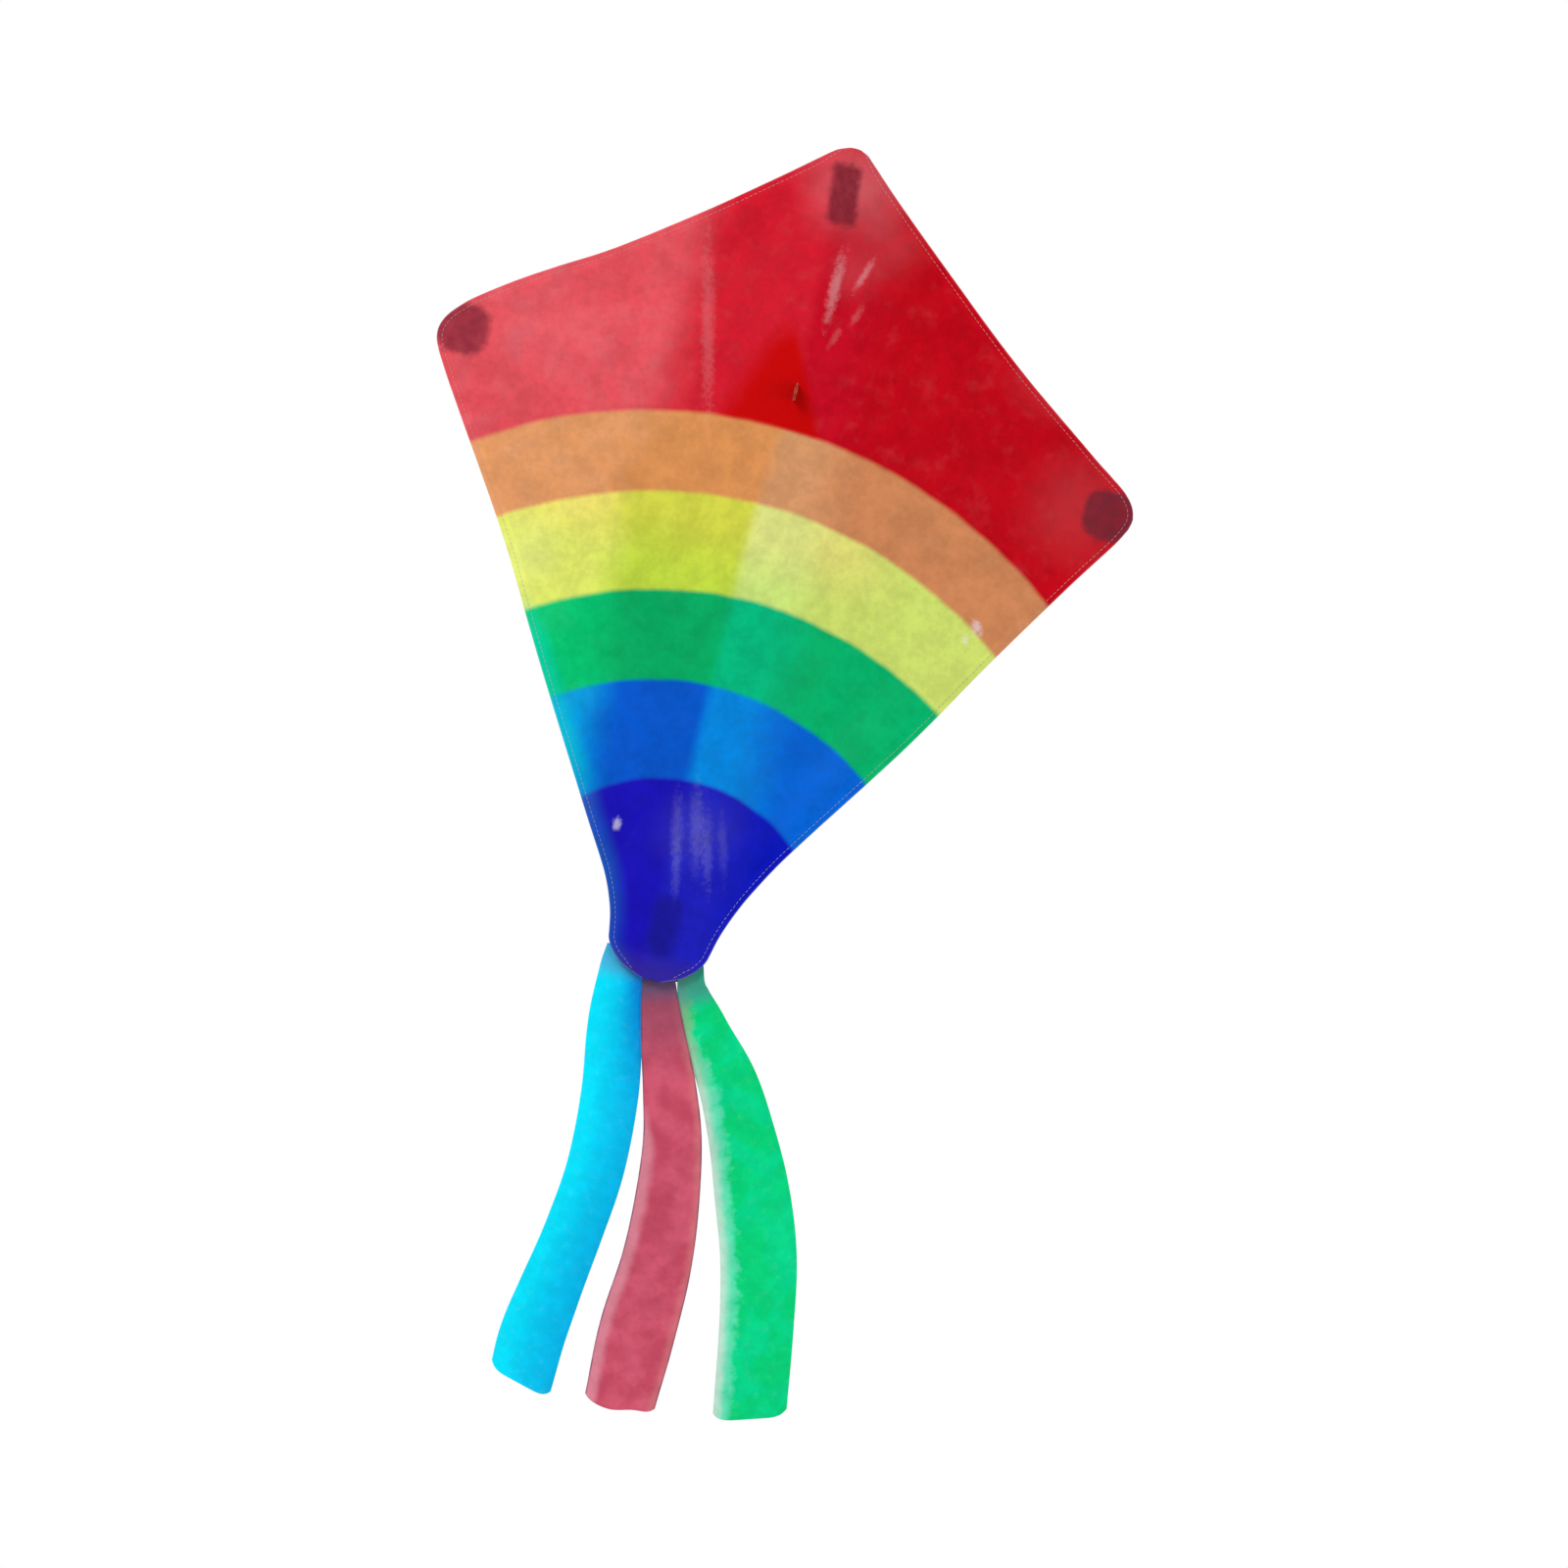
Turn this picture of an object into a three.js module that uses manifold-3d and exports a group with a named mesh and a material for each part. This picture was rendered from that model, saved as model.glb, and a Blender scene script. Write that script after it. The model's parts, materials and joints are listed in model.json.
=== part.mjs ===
// A small diamond kite: a rainbow sail on a crossed frame of two thin rods, with three ribbon tails.
//
// Millimetres, +Z up the spine to the nose, +X to the right and +Y away from whoever flies it, so the
// printed face looks along -Y. Everything is built round the crossing of spine and spar, with the
// spine's axis at x = 0, y = 0, and the last lines move it all so that the towing eye is the origin.
import * as THREE from "three";
import { mergeVertices } from "three/addons/utils/BufferGeometryUtils.js";
import Module from "manifold-3d";

const wasm = await Module();
wasm.setup();

// ---- driving dimensions ----

const GAP = 0.3; // clearance between neighbouring pieces
const THROUGH = 5; // how far a cut runs on past the face that it opens
const FINE_SIDES = 24; // sides of the moulded and sewn round forms
const LEFT = -1;
const RIGHT = 1;

// Sail: half widths [height above the crossing, distance from the spine] from nose to tail.
const SAIL_OUTLINE = {
  [LEFT]: [
    [232, 5], [230, 11], [225, 19], [195, 56], [150, 114], [105, 177], [75, 227], [45, 272], [20, 298],
    [2, 303], [-18, 294], [-60, 267], [-150, 208], [-240, 156], [-360, 84], [-405, 57], [-438, 45],
    [-452, 43], [-464, 35], [-473, 22], [-478, 9],
  ],
  [RIGHT]: [
    [232, 5], [230, 10], [225, 16], [195, 49], [150, 102], [105, 156], [75, 195], [30, 258], [8, 289],
    [-9, 298], [-28, 292], [-60, 271], [-150, 214], [-240, 160], [-360, 80], [-405, 56], [-438, 44],
    [-452, 41], [-464, 33], [-473, 21], [-478, 9],
  ],
};
const SAIL_THICKNESS = 0.8;
const SAIL_DEPTH = 5.6; // printed face to spine axis
const DIHEDRAL = THREE.MathUtils.degToRad(5); // each wing is swept back
const SEAM_HALF_GAP = 0.4; // half the gap between the two halves at the fold
const BILLOW_LOWER = 13; // how far the wind pushes the cloth back, below and above the spar
const BILLOW_UPPER = 6;
const BILLOW_FROM = 16; // the cloth is flat this near the spine, and at the edge
const UPPER_PANEL = [20, 205];
const LOWER_PANEL = [-420, -20];

// Frame
const ROD_RADIUS = 1.5;
const SPINE_TOP = 214;
const SPINE_BOTTOM = -464;
const SPAR_INNER = 10;
const SPAR_OUTER = 287;
const SPAR_TILT = THREE.MathUtils.degToRad(2.4); // the soft hub lets the spar sit a little off square
const SNUG_BORE = ROD_RADIUS + GAP;
const ROD_SIDES = 16;

const CAP_RADIUS = 2.6;
const CAP_LENGTH = 12;
const CAP_FLOOR = 1.5;
const CAP_CHAMFER = 1;
const CAP_BORE_RADIUS = CAP_RADIUS + GAP;
const CAP_GRIP = CAP_LENGTH - CAP_FLOOR - GAP; // from a cap's mouth to the rod's end inside it

const HUB_RADIUS = 3.6;
const HUB_HALF_HEIGHT = 15;
const STUB_RADIUS = 3.2;
const STUB_REACH = 5.6;
const PAD = { width: 8, height: 18, front: 2.4, back: 4.6 };
const SLEEVE_START = 8;
const SLEEVE_END = 36;

// Sewn parts
const CLOTH = 1;
const SEWN_GAP = 0.35; // between the sail's back and the cloth sewn to it
const ARCH_FOOT = 1.6; // where that cloth leaves the sail to arch over the rod, in radii of the arch
const NOSE_POCKET = { halfWidth: 10, bottom: 166, top: 220 };
const TAIL_POCKET = { halfWidth: 12.5, bottom: -471, top: -412 };
const TIE = { halfWidth: 8, height: 12, heights: { upper: 96, lower: -212 } };
const POCKET_END = 2.5;
const POCKET_ARCH = CAP_BORE_RADIUS + CLOTH;
const TIP_POCKET = { centre: 279, radius: 20.5, back: 9.6, edge: 1.4, end: 3, domeSteps: 6, fullness: 0.6 };
const PATCH = { reach: 30, top: 46, shoulder: 12, bottom: -30, thickness: 0.6 };

// Towing tab and eyelet
const TOW_HEIGHT = 24;
const TAB_HALF_WIDTH = 7;
const TAB_HALF_THICKNESS = 0.8;
const TAB_LOOP_RADIUS = 2.6;
const TAB_ROOT = 2; // where its two layers meet, in front of the spine
const EYE_FORWARD = 11.5; // in front of the printed face
const EYE_Y = -SAIL_DEPTH - EYE_FORWARD;
const EYELET = { bore: 3.2, barrel: 3.8, flange: 5.6, flangeThickness: 0.6 };
const SLIT = { halfWidth: 3, halfHeight: 8.5, front: -2 };

// Tails
const TAIL_Y = 4.8; // the ribbons hang in the plane of the tape that holds them
const TAIL_TOP = -478.5;
const TAIL_EASE = 0.25; // the share of its length over which a ribbon's ripple grows
const TAIL_THICKNESS = 0.9;
const BINDING = { left: -38, right: 40, bottom: -475, top: -453 };
// Each ribbon: its middle line as [x, z], its width at the top and lower down, and its ripple.
const TAILS = {
  cyan_tail: {
    colour: 0x00c8f0,
    middle: [
      [-24, TAIL_TOP], [-18, -525], [-11, -580], [-9, -640],
      [-15, -695], [-22, -750], [-26, -790], [-25, -828],
    ],
    widths: [32, 41],
    spread: 30,
    ripple: { depth: 5, waves: 1.4, phase: 0.3 },
  },
  rose_tail: {
    colour: 0xcd506e,
    middle: [
      [10, TAIL_TOP], [21, -520], [36, -562], [49, -605],
      [57, -660], [60, -710], [56, -765], [57, -832],
    ],
    widths: [21, 55],
    spread: 190,
    ripple: { depth: 6, waves: 1.2, phase: 2.2 },
  },
  green_tail: {
    colour: 0x00d27d,
    middle: [
      [34, TAIL_TOP], [57, -510], [82, -545], [103, -585],
      [124, -630], [143, -680], [153, -735], [167, -814],
    ],
    widths: [20, 56],
    spread: 130,
    ripple: { depth: 6, waves: 1.3, phase: 4.1 },
  },
};

// ---- materials ----

const cloth = (colour) => new THREE.MeshStandardMaterial({ color: colour, roughness: 0.55 });
const sailCloth = () => cloth(0xc8142a);
const darkCloth = () => new THREE.MeshStandardMaterial({ color: 0x1d1a20, roughness: 0.8 });
const redWebbing = () => new THREE.MeshStandardMaterial({ color: 0xa80f22, roughness: 0.8 });
const fibreglass = () => new THREE.MeshStandardMaterial({ color: 0x2a2c30, roughness: 0.3 });
const softVinyl = () => new THREE.MeshStandardMaterial({ color: 0x17181a, roughness: 0.5 });
const pressedMetal = () => new THREE.MeshStandardMaterial({ color: 0xb9a06a, roughness: 0.3, metalness: 1 });

// ---- helpers ----

function named(name, geometry, material) {
  const mesh = new THREE.Mesh(geometry, material);
  mesh.name = name;
  return mesh;
}

const sideName = (side) => (side === LEFT ? "left" : "right");

// A manifold-3d solid from a closed three.js geometry.
function solid(geometry) {
  const bare = geometry.clone();
  bare.deleteAttribute("normal");
  bare.deleteAttribute("uv");
  const merged = mergeVertices(bare, 1e-4);
  return new wasm.Manifold(
    new wasm.Mesh({
      numProp: 3,
      vertProperties: new Float32Array(merged.attributes.position.array),
      triVerts: new Uint32Array(merged.index.array),
    }),
  );
}

function geometryOf(body) {
  const mesh = body.getMesh();
  const geometry = new THREE.BufferGeometry();
  geometry.setAttribute("position", new THREE.BufferAttribute(mesh.vertProperties, 3));
  geometry.setIndex(new THREE.BufferAttribute(mesh.triVerts, 1));
  geometry.computeVertexNormals();
  return geometry;
}

// A cylinder along Z from one height to another.
function post(radius, bottom, top, sides = ROD_SIDES) {
  return new THREE.CylinderGeometry(radius, radius, top - bottom, sides)
    .rotateX(Math.PI / 2)
    .translate(0, 0, (top + bottom) / 2);
}

// A cylinder along X between two stations.
function bar(radius, from, to, sides = ROD_SIDES) {
  return new THREE.CylinderGeometry(radius, radius, Math.abs(to - from), sides)
    .rotateZ(Math.PI / 2)
    .translate((from + to) / 2, 0, 0);
}

function block(low, high) {
  return new THREE.BoxGeometry(high[0] - low[0], high[1] - low[1], high[2] - low[2]).translate(
    (low[0] + high[0]) / 2,
    (low[1] + high[1]) / 2,
    (low[2] + high[2]) / 2,
  );
}

const smooth = (t) => t * t * (3 - 2 * t);

// A smooth curve through [height, value] pairs that run downwards, read at a height.
function readCurve(points, height) {
  const last = points.length - 1;
  const slope = (i) => {
    const a = points[Math.max(i - 1, 0)];
    const b = points[Math.min(i + 1, last)];
    return (b[1] - a[1]) / (b[0] - a[0]);
  };
  let i = 0;
  while (i < last - 1 && height < points[i + 1][0]) i += 1;
  const [h0, v0] = points[i];
  const [h1, v1] = points[i + 1];
  const span = h1 - h0;
  const t = THREE.MathUtils.clamp((height - h0) / span, 0, 1);
  const s = 1 - t;
  const start = v0 * (1 + 2 * t) * s * s + slope(i) * span * t * s * s;
  return start + v1 * t * t * (3 - 2 * t) - slope(i + 1) * span * t * t * s;
}

// A closed sheet: a box with its columns, rows and two faces moved to where place(u, v, face) says.
function sheet(columns, rows, place) {
  const geometry = new THREE.BoxGeometry(1, 1, 1, columns, 1, rows);
  const position = geometry.attributes.position;
  for (let i = 0; i < position.count; i += 1) {
    const [x, y, z] = place(position.getX(i) + 0.5, 0.5 - position.getZ(i), position.getY(i) + 0.5);
    position.setXYZ(i, x, y, z);
  }
  return geometry;
}

// ---- sail ----

const SAIL_STRETCHES = [
  { from: 232, to: 222, rows: 3 },
  { from: 222, to: 40, rows: 9 },
  { from: 40, to: -40, rows: 8 },
  { from: -40, to: -390, rows: 12 },
  { from: -390, to: -446, rows: 4 },
  { from: -446, to: -478, rows: 5 },
];
const SAIL_ROWS = SAIL_STRETCHES.reduce((sum, stretch) => sum + stretch.rows, 0);
const SAIL_COLUMNS = 12;

// The height of a row of the sail's grid, closer together where the outline turns.
function rowHeight(row) {
  let left = row;
  for (const { from, to, rows } of SAIL_STRETCHES) {
    if (left <= rows) return from + ((to - from) * left) / rows;
    left -= rows;
  }
  return SAIL_STRETCHES.at(-1).to;
}

function panelSwell(height, [bottom, top], depth) {
  const t = THREE.MathUtils.clamp((height - bottom) / (top - bottom), 0, 1);
  return depth * Math.sin(Math.PI * t) ** 2;
}

// How far back the wind has pushed the cloth, at a distance from the spine.
function billow(distance, halfWidth, height) {
  const t = THREE.MathUtils.clamp((distance - BILLOW_FROM) / (halfWidth - BILLOW_FROM * 1.5), 0, 1);
  const depth = panelSwell(height, UPPER_PANEL, BILLOW_UPPER) + panelSwell(height, LOWER_PANEL, BILLOW_LOWER);
  return depth * Math.sin(Math.PI * t) ** 2;
}

// One half of the sail in its wing's frame, where the printed face starts at the fold, at y = 0.
function sailHalf(side) {
  const half = sheet(SAIL_COLUMNS, SAIL_ROWS, (u, v, face) => {
    const height = rowHeight(Math.round(v * SAIL_ROWS));
    const halfWidth = readCurve(SAIL_OUTLINE[side], height) / Math.cos(DIHEDRAL);
    const across = side === RIGHT ? u : 1 - u;
    const distance = SEAM_HALF_GAP + (halfWidth - SEAM_HALF_GAP) * across;
    return [side * distance, face * SAIL_THICKNESS + billow(distance, halfWidth, height), height];
  });
  return named(`sail_${sideName(side)}`, geometryOf(solid(half).subtract(towSlit())), sailCloth());
}

// The space that the towing tab passes through.
function towSlit() {
  const low = [-SLIT.halfWidth, SLIT.front, TOW_HEIGHT - SLIT.halfHeight];
  const high = [SLIT.halfWidth, SAIL_DEPTH, TOW_HEIGHT + SLIT.halfHeight];
  return solid(block(low, high));
}

// ---- frame ----

function spineRod() {
  return named("spine_rod", post(ROD_RADIUS, SPINE_BOTTOM, SPINE_TOP), fibreglass());
}

function sparRod(side) {
  const rod = bar(ROD_RADIUS, side * SPAR_INNER, side * SPAR_OUTER);
  return named(`spar_${sideName(side)}`, rod, fibreglass());
}

// A blind vinyl cap, mouth at z = 0 and closed end up.
function capGeometry() {
  const profile = [
    [0, CAP_LENGTH - CAP_FLOOR],
    [SNUG_BORE, CAP_LENGTH - CAP_FLOOR],
    [SNUG_BORE, 0],
    [CAP_RADIUS, 0],
    [CAP_RADIUS, CAP_LENGTH - CAP_CHAMFER],
    [CAP_RADIUS - CAP_CHAMFER, CAP_LENGTH],
    [0, CAP_LENGTH],
  ];
  return new THREE.LatheGeometry(
    profile.map(([r, y]) => new THREE.Vector2(r, y)),
    ROD_SIDES,
  );
}

function spineCap(name, rodEnd, direction) {
  const cap = named(name, capGeometry(), softVinyl());
  cap.rotation.x = (direction * Math.PI) / 2;
  cap.position.z = rodEnd - direction * CAP_GRIP;
  return cap;
}

function tipCap(side) {
  const cap = named(`tip_cap_${sideName(side)}`, capGeometry(), softVinyl());
  cap.rotation.z = (-side * Math.PI) / 2;
  cap.position.x = side * (SPAR_OUTER - CAP_GRIP);
  return cap;
}

// The soft cross tube: an upright sleeve on the spine, two short stubs, and a flat pad behind.
function centreHub() {
  const upright = solid(post(HUB_RADIUS, -HUB_HALF_HEIGHT, HUB_HALF_HEIGHT, FINE_SIDES));
  const stubs = solid(bar(STUB_RADIUS, -STUB_REACH, STUB_REACH, FINE_SIDES).rotateY(SPAR_TILT));
  const pad = solid(
    block([-PAD.width / 2, PAD.front, -PAD.height / 2], [PAD.width / 2, PAD.back, PAD.height / 2]),
  );
  const bore = solid(post(SNUG_BORE, -HUB_HALF_HEIGHT - THROUGH, HUB_HALF_HEIGHT + THROUGH, FINE_SIDES));
  return named("centre_hub", geometryOf(upright.add(stubs).add(pad).subtract(bore)), softVinyl());
}

function sparSleeve(side) {
  const tube = solid(bar(STUB_RADIUS, side * SLEEVE_START, side * SLEEVE_END, FINE_SIDES));
  const cutEnds = [side * (SLEEVE_START - THROUGH), side * (SLEEVE_END + THROUGH)];
  const bore = solid(bar(SNUG_BORE, ...cutEnds, FINE_SIDES));
  return named(`spar_sleeve_${sideName(side)}`, geometryOf(tube.subtract(bore)), softVinyl());
}

// ---- sewn parts ----

// Cloth sewn to the back of the sail and arched over the spine: a section across x and y.
function archSection(halfWidth, archRadius) {
  const front = (x) => -SAIL_DEPTH + SAIL_THICKNESS + SEWN_GAP + x * Math.tan(DIHEDRAL);
  const foot = Math.min(ARCH_FOOT * archRadius, halfWidth - CLOTH);
  const section = new THREE.Shape();
  section.moveTo(0, front(0));
  section.lineTo(halfWidth, front(halfWidth));
  section.lineTo(halfWidth, front(halfWidth) + CLOTH);
  section.lineTo(foot, front(foot) + CLOTH);
  section.absarc(0, 0, archRadius, 0, Math.PI, false);
  section.lineTo(-foot, front(foot) + CLOTH);
  section.lineTo(-halfWidth, front(halfWidth) + CLOTH);
  section.lineTo(-halfWidth, front(halfWidth));
  section.closePath();
  return section;
}

function arch(halfWidth, archRadius, bottom, top) {
  const options = { depth: top - bottom, bevelEnabled: false, curveSegments: 12 };
  const section = archSection(halfWidth, archRadius);
  return solid(new THREE.ExtrudeGeometry(section, options).translate(0, 0, bottom));
}

// The nose pocket is open below, and the tail pocket above.
function nosePocket() {
  const { halfWidth, bottom, top } = NOSE_POCKET;
  const bore = solid(post(CAP_BORE_RADIUS, bottom - THROUGH, top - POCKET_END));
  const body = arch(halfWidth, POCKET_ARCH, bottom, top).subtract(bore);
  return named("nose_pocket", geometryOf(body), darkCloth());
}

function tailPocket() {
  const { halfWidth, bottom, top } = TAIL_POCKET;
  const bore = solid(post(CAP_BORE_RADIUS, bottom + POCKET_END, top + THROUGH));
  const body = arch(halfWidth, POCKET_ARCH, bottom, top).subtract(bore);
  return named("tail_pocket", geometryOf(body), darkCloth());
}

function spineTie(place) {
  const middle = TIE.heights[place];
  const low = middle - TIE.height / 2;
  const high = middle + TIE.height / 2;
  const bore = solid(post(SNUG_BORE, low - THROUGH, high + THROUGH));
  const body = arch(TIE.halfWidth, SNUG_BORE + CLOTH, low, high).subtract(bore);
  return named(`spine_tie_${place}`, geometryOf(body), darkCloth());
}

const TIP_POCKET_SIDES = 32;

// A round pocket, flat against the sail and domed over the spar's end, open towards the hub.
function tipPocket(side) {
  const { centre, radius, back, edge, end, domeSteps, fullness } = TIP_POCKET;
  const front = SAIL_THICKNESS + GAP - SAIL_DEPTH;
  const domeBack = back - SAIL_DEPTH;
  const profile = [[0, front], [radius, front], [radius, front + edge]];
  for (let i = 1; i <= domeSteps; i += 1) {
    const t = i / domeSteps;
    profile.push([radius * (1 - t), front + edge + (domeBack - front - edge) * smooth(t) ** fullness]);
  }
  const puck = new THREE.LatheGeometry(
    profile.map(([r, y]) => new THREE.Vector2(r, y)),
    TIP_POCKET_SIDES,
  ).translate(side * centre, 0, 0);
  const mouth = centre - radius - THROUGH;
  const bore = bar(CAP_BORE_RADIUS, side * mouth, side * (SPAR_OUTER + end), FINE_SIDES);
  return named(`tip_pocket_${sideName(side)}`, geometryOf(solid(puck).subtract(solid(bore))), darkCloth());
}

// Half of the reinforcement behind the sail at the crossing, in its wing's frame.
function patchHalf(side) {
  const outline = new THREE.Shape();
  const inner = side * SEAM_HALF_GAP;
  outline.moveTo(inner, PATCH.bottom);
  outline.lineTo(side * PATCH.reach, 0);
  outline.lineTo(side * PATCH.reach, PATCH.shoulder);
  outline.lineTo(inner, PATCH.top);
  outline.closePath();
  const back = SAIL_THICKNESS + GAP + PATCH.thickness;
  const plate = new THREE.ExtrudeGeometry(outline, { depth: PATCH.thickness, bevelEnabled: false })
    .rotateX(Math.PI / 2)
    .translate(0, back, 0);
  return named(`patch_${sideName(side)}`, geometryOf(solid(plate).subtract(towSlit())), darkCloth());
}

// ---- towing tab ----

// Webbing doubled round the spine, its two layers joined into one blade that stands forward.
function towTab() {
  const blade = new THREE.Shape();
  blade.moveTo(TAB_ROOT, -TAB_HALF_WIDTH);
  blade.lineTo(-EYE_Y, -TAB_HALF_WIDTH);
  blade.absarc(-EYE_Y, 0, TAB_HALF_WIDTH, -Math.PI / 2, Math.PI / 2, false);
  blade.lineTo(TAB_ROOT, TAB_HALF_WIDTH);
  blade.closePath();
  const hole = new THREE.Path();
  hole.absarc(-EYE_Y, 0, EYELET.barrel + GAP, 0, 2 * Math.PI, true);
  blade.holes.push(hole);
  const options = { depth: 2 * TAB_HALF_THICKNESS, bevelEnabled: false, curveSegments: 16 };
  const leaf = new THREE.ExtrudeGeometry(blade, options)
    .translate(0, 0, -TAB_HALF_THICKNESS)
    .rotateX(Math.PI / 2)
    .rotateZ(-Math.PI / 2);
  const loop = solid(post(TAB_LOOP_RADIUS, -TAB_HALF_WIDTH, TAB_HALF_WIDTH, FINE_SIDES));
  const bore = solid(post(SNUG_BORE, -TAB_HALF_WIDTH - THROUGH, TAB_HALF_WIDTH + THROUGH, FINE_SIDES));
  const tab = named("tow_tab", geometryOf(loop.add(solid(leaf)).subtract(bore)), redWebbing());
  tab.position.z = TOW_HEIGHT;
  return tab;
}

function towEyelet() {
  const { bore, barrel, flange, flangeThickness } = EYELET;
  const inside = TAB_HALF_THICKNESS + GAP;
  const outside = inside + flangeThickness;
  const profile = [
    [bore, -outside],
    [flange, -outside],
    [flange, -inside],
    [barrel, -inside],
    [barrel, inside],
    [flange, inside],
    [flange, outside],
    [bore, outside],
    [bore, -outside],
  ];
  const ring = new THREE.LatheGeometry(
    profile.map(([r, y]) => new THREE.Vector2(r, y)),
    FINE_SIDES,
  );
  const eyelet = named("tow_eyelet", ring, pressedMetal());
  eyelet.rotation.z = Math.PI / 2;
  eyelet.position.set(0, EYE_Y, TOW_HEIGHT);
  return eyelet;
}

// ---- tails ----

function tailBinding() {
  const { left, right, bottom, top } = BINDING;
  const half = CLOTH / 2;
  const tape = block([left, TAIL_Y - half, bottom], [right, TAIL_Y + half, top]);
  return named("tail_binding", tape, darkCloth());
}

const TAIL_COLUMNS = 4;
const TAIL_ROWS = 34;

function tail(name) {
  const { colour, middle, widths, spread, ripple } = TAILS[name];
  const line = new THREE.CatmullRomCurve3(middle.map(([x, z]) => new THREE.Vector3(x, 0, z)));
  const length = line.getLength();
  const ribbon = sheet(TAIL_COLUMNS, TAIL_ROWS, (u, v, face) => {
    const point = line.getPointAt(v);
    const along = v === 0 ? new THREE.Vector3(0, 0, -1) : line.getTangentAt(v);
    const width = widths[0] + (widths[1] - widths[0]) * smooth(Math.min((v * length) / spread, 1));
    const offset = (u - 0.5) * width;
    const wave = Math.sin(2 * Math.PI * ripple.waves * v + ripple.phase + (u - 0.5));
    const depth = ripple.depth * smooth(Math.min(v / TAIL_EASE, 1)) * wave;
    const y = TAIL_Y + (face - 0.5) * TAIL_THICKNESS + depth;
    return [point.x - along.z * offset, y, point.z + along.x * offset];
  });
  return named(name, ribbon, cloth(colour));
}

// ---- assembly ----

// A wing swings about the fold of the sail, so its frame stands there, swept back by the dihedral.
function wing(side) {
  const frame = new THREE.Group();
  frame.position.y = -SAIL_DEPTH;
  frame.rotation.z = side * DIHEDRAL;
  frame.add(sailHalf(side), patchHalf(side));
  const spar = new THREE.Group();
  spar.position.y = SAIL_DEPTH;
  spar.rotation.y = SPAR_TILT;
  spar.add(sparRod(side), sparSleeve(side), tipCap(side), tipPocket(side));
  frame.add(spar);
  return frame;
}

const kite = new THREE.Group();
kite.add(
  spineRod(),
  spineCap("nose_cap", SPINE_TOP, 1),
  spineCap("tail_cap", SPINE_BOTTOM, -1),
  centreHub(),
  nosePocket(),
  tailPocket(),
  spineTie("upper"),
  spineTie("lower"),
  towTab(),
  towEyelet(),
  tailBinding(),
);
for (const side of [LEFT, RIGHT]) kite.add(wing(side));
for (const name of Object.keys(TAILS)) kite.add(tail(name));

// The towing eye is the part's origin.
kite.position.set(0, -EYE_Y, -TOW_HEIGHT);

const part = new THREE.Group();
part.add(kite);
export default part;
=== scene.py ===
"""A small diamond kite: its cloth, pockets, rods, ribbons and stitches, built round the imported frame.

Pieces are placed in the kite's own axes, in millimetres from the crossing of spine and spar, and
at() turns such a point into the frame's metres. What lies on a wing is placed by its distance from
the fold, its depth behind the printed face and its height, which wing() turns into the kite's axes.
"""

import contextlib
import json
import math

import bmesh
import bpy
import numpy as np
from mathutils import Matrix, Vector, noise


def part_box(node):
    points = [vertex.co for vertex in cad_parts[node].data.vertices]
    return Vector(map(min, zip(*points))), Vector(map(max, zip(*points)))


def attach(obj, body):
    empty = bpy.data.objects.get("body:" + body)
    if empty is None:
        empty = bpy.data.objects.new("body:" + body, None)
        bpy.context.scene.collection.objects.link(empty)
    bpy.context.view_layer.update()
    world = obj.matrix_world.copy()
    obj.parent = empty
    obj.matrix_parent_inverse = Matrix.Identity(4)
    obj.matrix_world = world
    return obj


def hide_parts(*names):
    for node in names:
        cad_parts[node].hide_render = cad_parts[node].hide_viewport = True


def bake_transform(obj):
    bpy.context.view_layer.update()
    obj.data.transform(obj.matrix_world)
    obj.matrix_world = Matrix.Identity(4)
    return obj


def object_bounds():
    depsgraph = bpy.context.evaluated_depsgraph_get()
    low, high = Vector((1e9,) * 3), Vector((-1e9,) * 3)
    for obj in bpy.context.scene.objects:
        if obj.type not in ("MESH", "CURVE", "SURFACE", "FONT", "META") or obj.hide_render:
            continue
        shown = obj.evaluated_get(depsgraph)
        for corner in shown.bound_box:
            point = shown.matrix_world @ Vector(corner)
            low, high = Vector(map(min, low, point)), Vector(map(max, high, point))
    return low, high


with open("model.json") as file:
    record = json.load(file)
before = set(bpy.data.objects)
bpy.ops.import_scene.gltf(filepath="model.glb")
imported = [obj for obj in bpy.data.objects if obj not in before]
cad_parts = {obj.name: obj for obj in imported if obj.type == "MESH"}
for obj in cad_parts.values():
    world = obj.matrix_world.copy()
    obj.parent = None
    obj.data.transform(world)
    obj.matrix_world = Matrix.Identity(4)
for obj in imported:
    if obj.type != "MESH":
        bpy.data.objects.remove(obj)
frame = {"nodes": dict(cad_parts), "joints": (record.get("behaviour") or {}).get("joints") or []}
CAD_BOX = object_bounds()

# ---- places taken from the frame ----

MM = 0.001
LEFT, RIGHT = -1, 1
SIDES = {LEFT: "left", RIGHT: "right"}


def middle(node):
    low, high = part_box(node)
    return (low + high) / 2


def joint_place(name):
    return next(joint["pos_m"] for joint in frame["joints"] if joint["name"] == name)


SPINE_Y = middle("spine_rod").y
CROSSING_Z = middle("centre_hub").z
FOLD = joint_place("left_wing_fold")
SAIL_DEPTH = (SPINE_Y - FOLD[1]) / MM  # from the printed face back to the spine's axis
TIP = max(frame["nodes"]["sail_right"].data.vertices, key=lambda v: v.co.x).co
SWEEP = math.atan2(TIP.y - FOLD[1], TIP.x - FOLD[0])
SPINE_BOTTOM, SPINE_TOP = [(corner.z - CROSSING_Z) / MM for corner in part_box("spine_rod")]

# ---- dimensions, in millimetres ----

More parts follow.
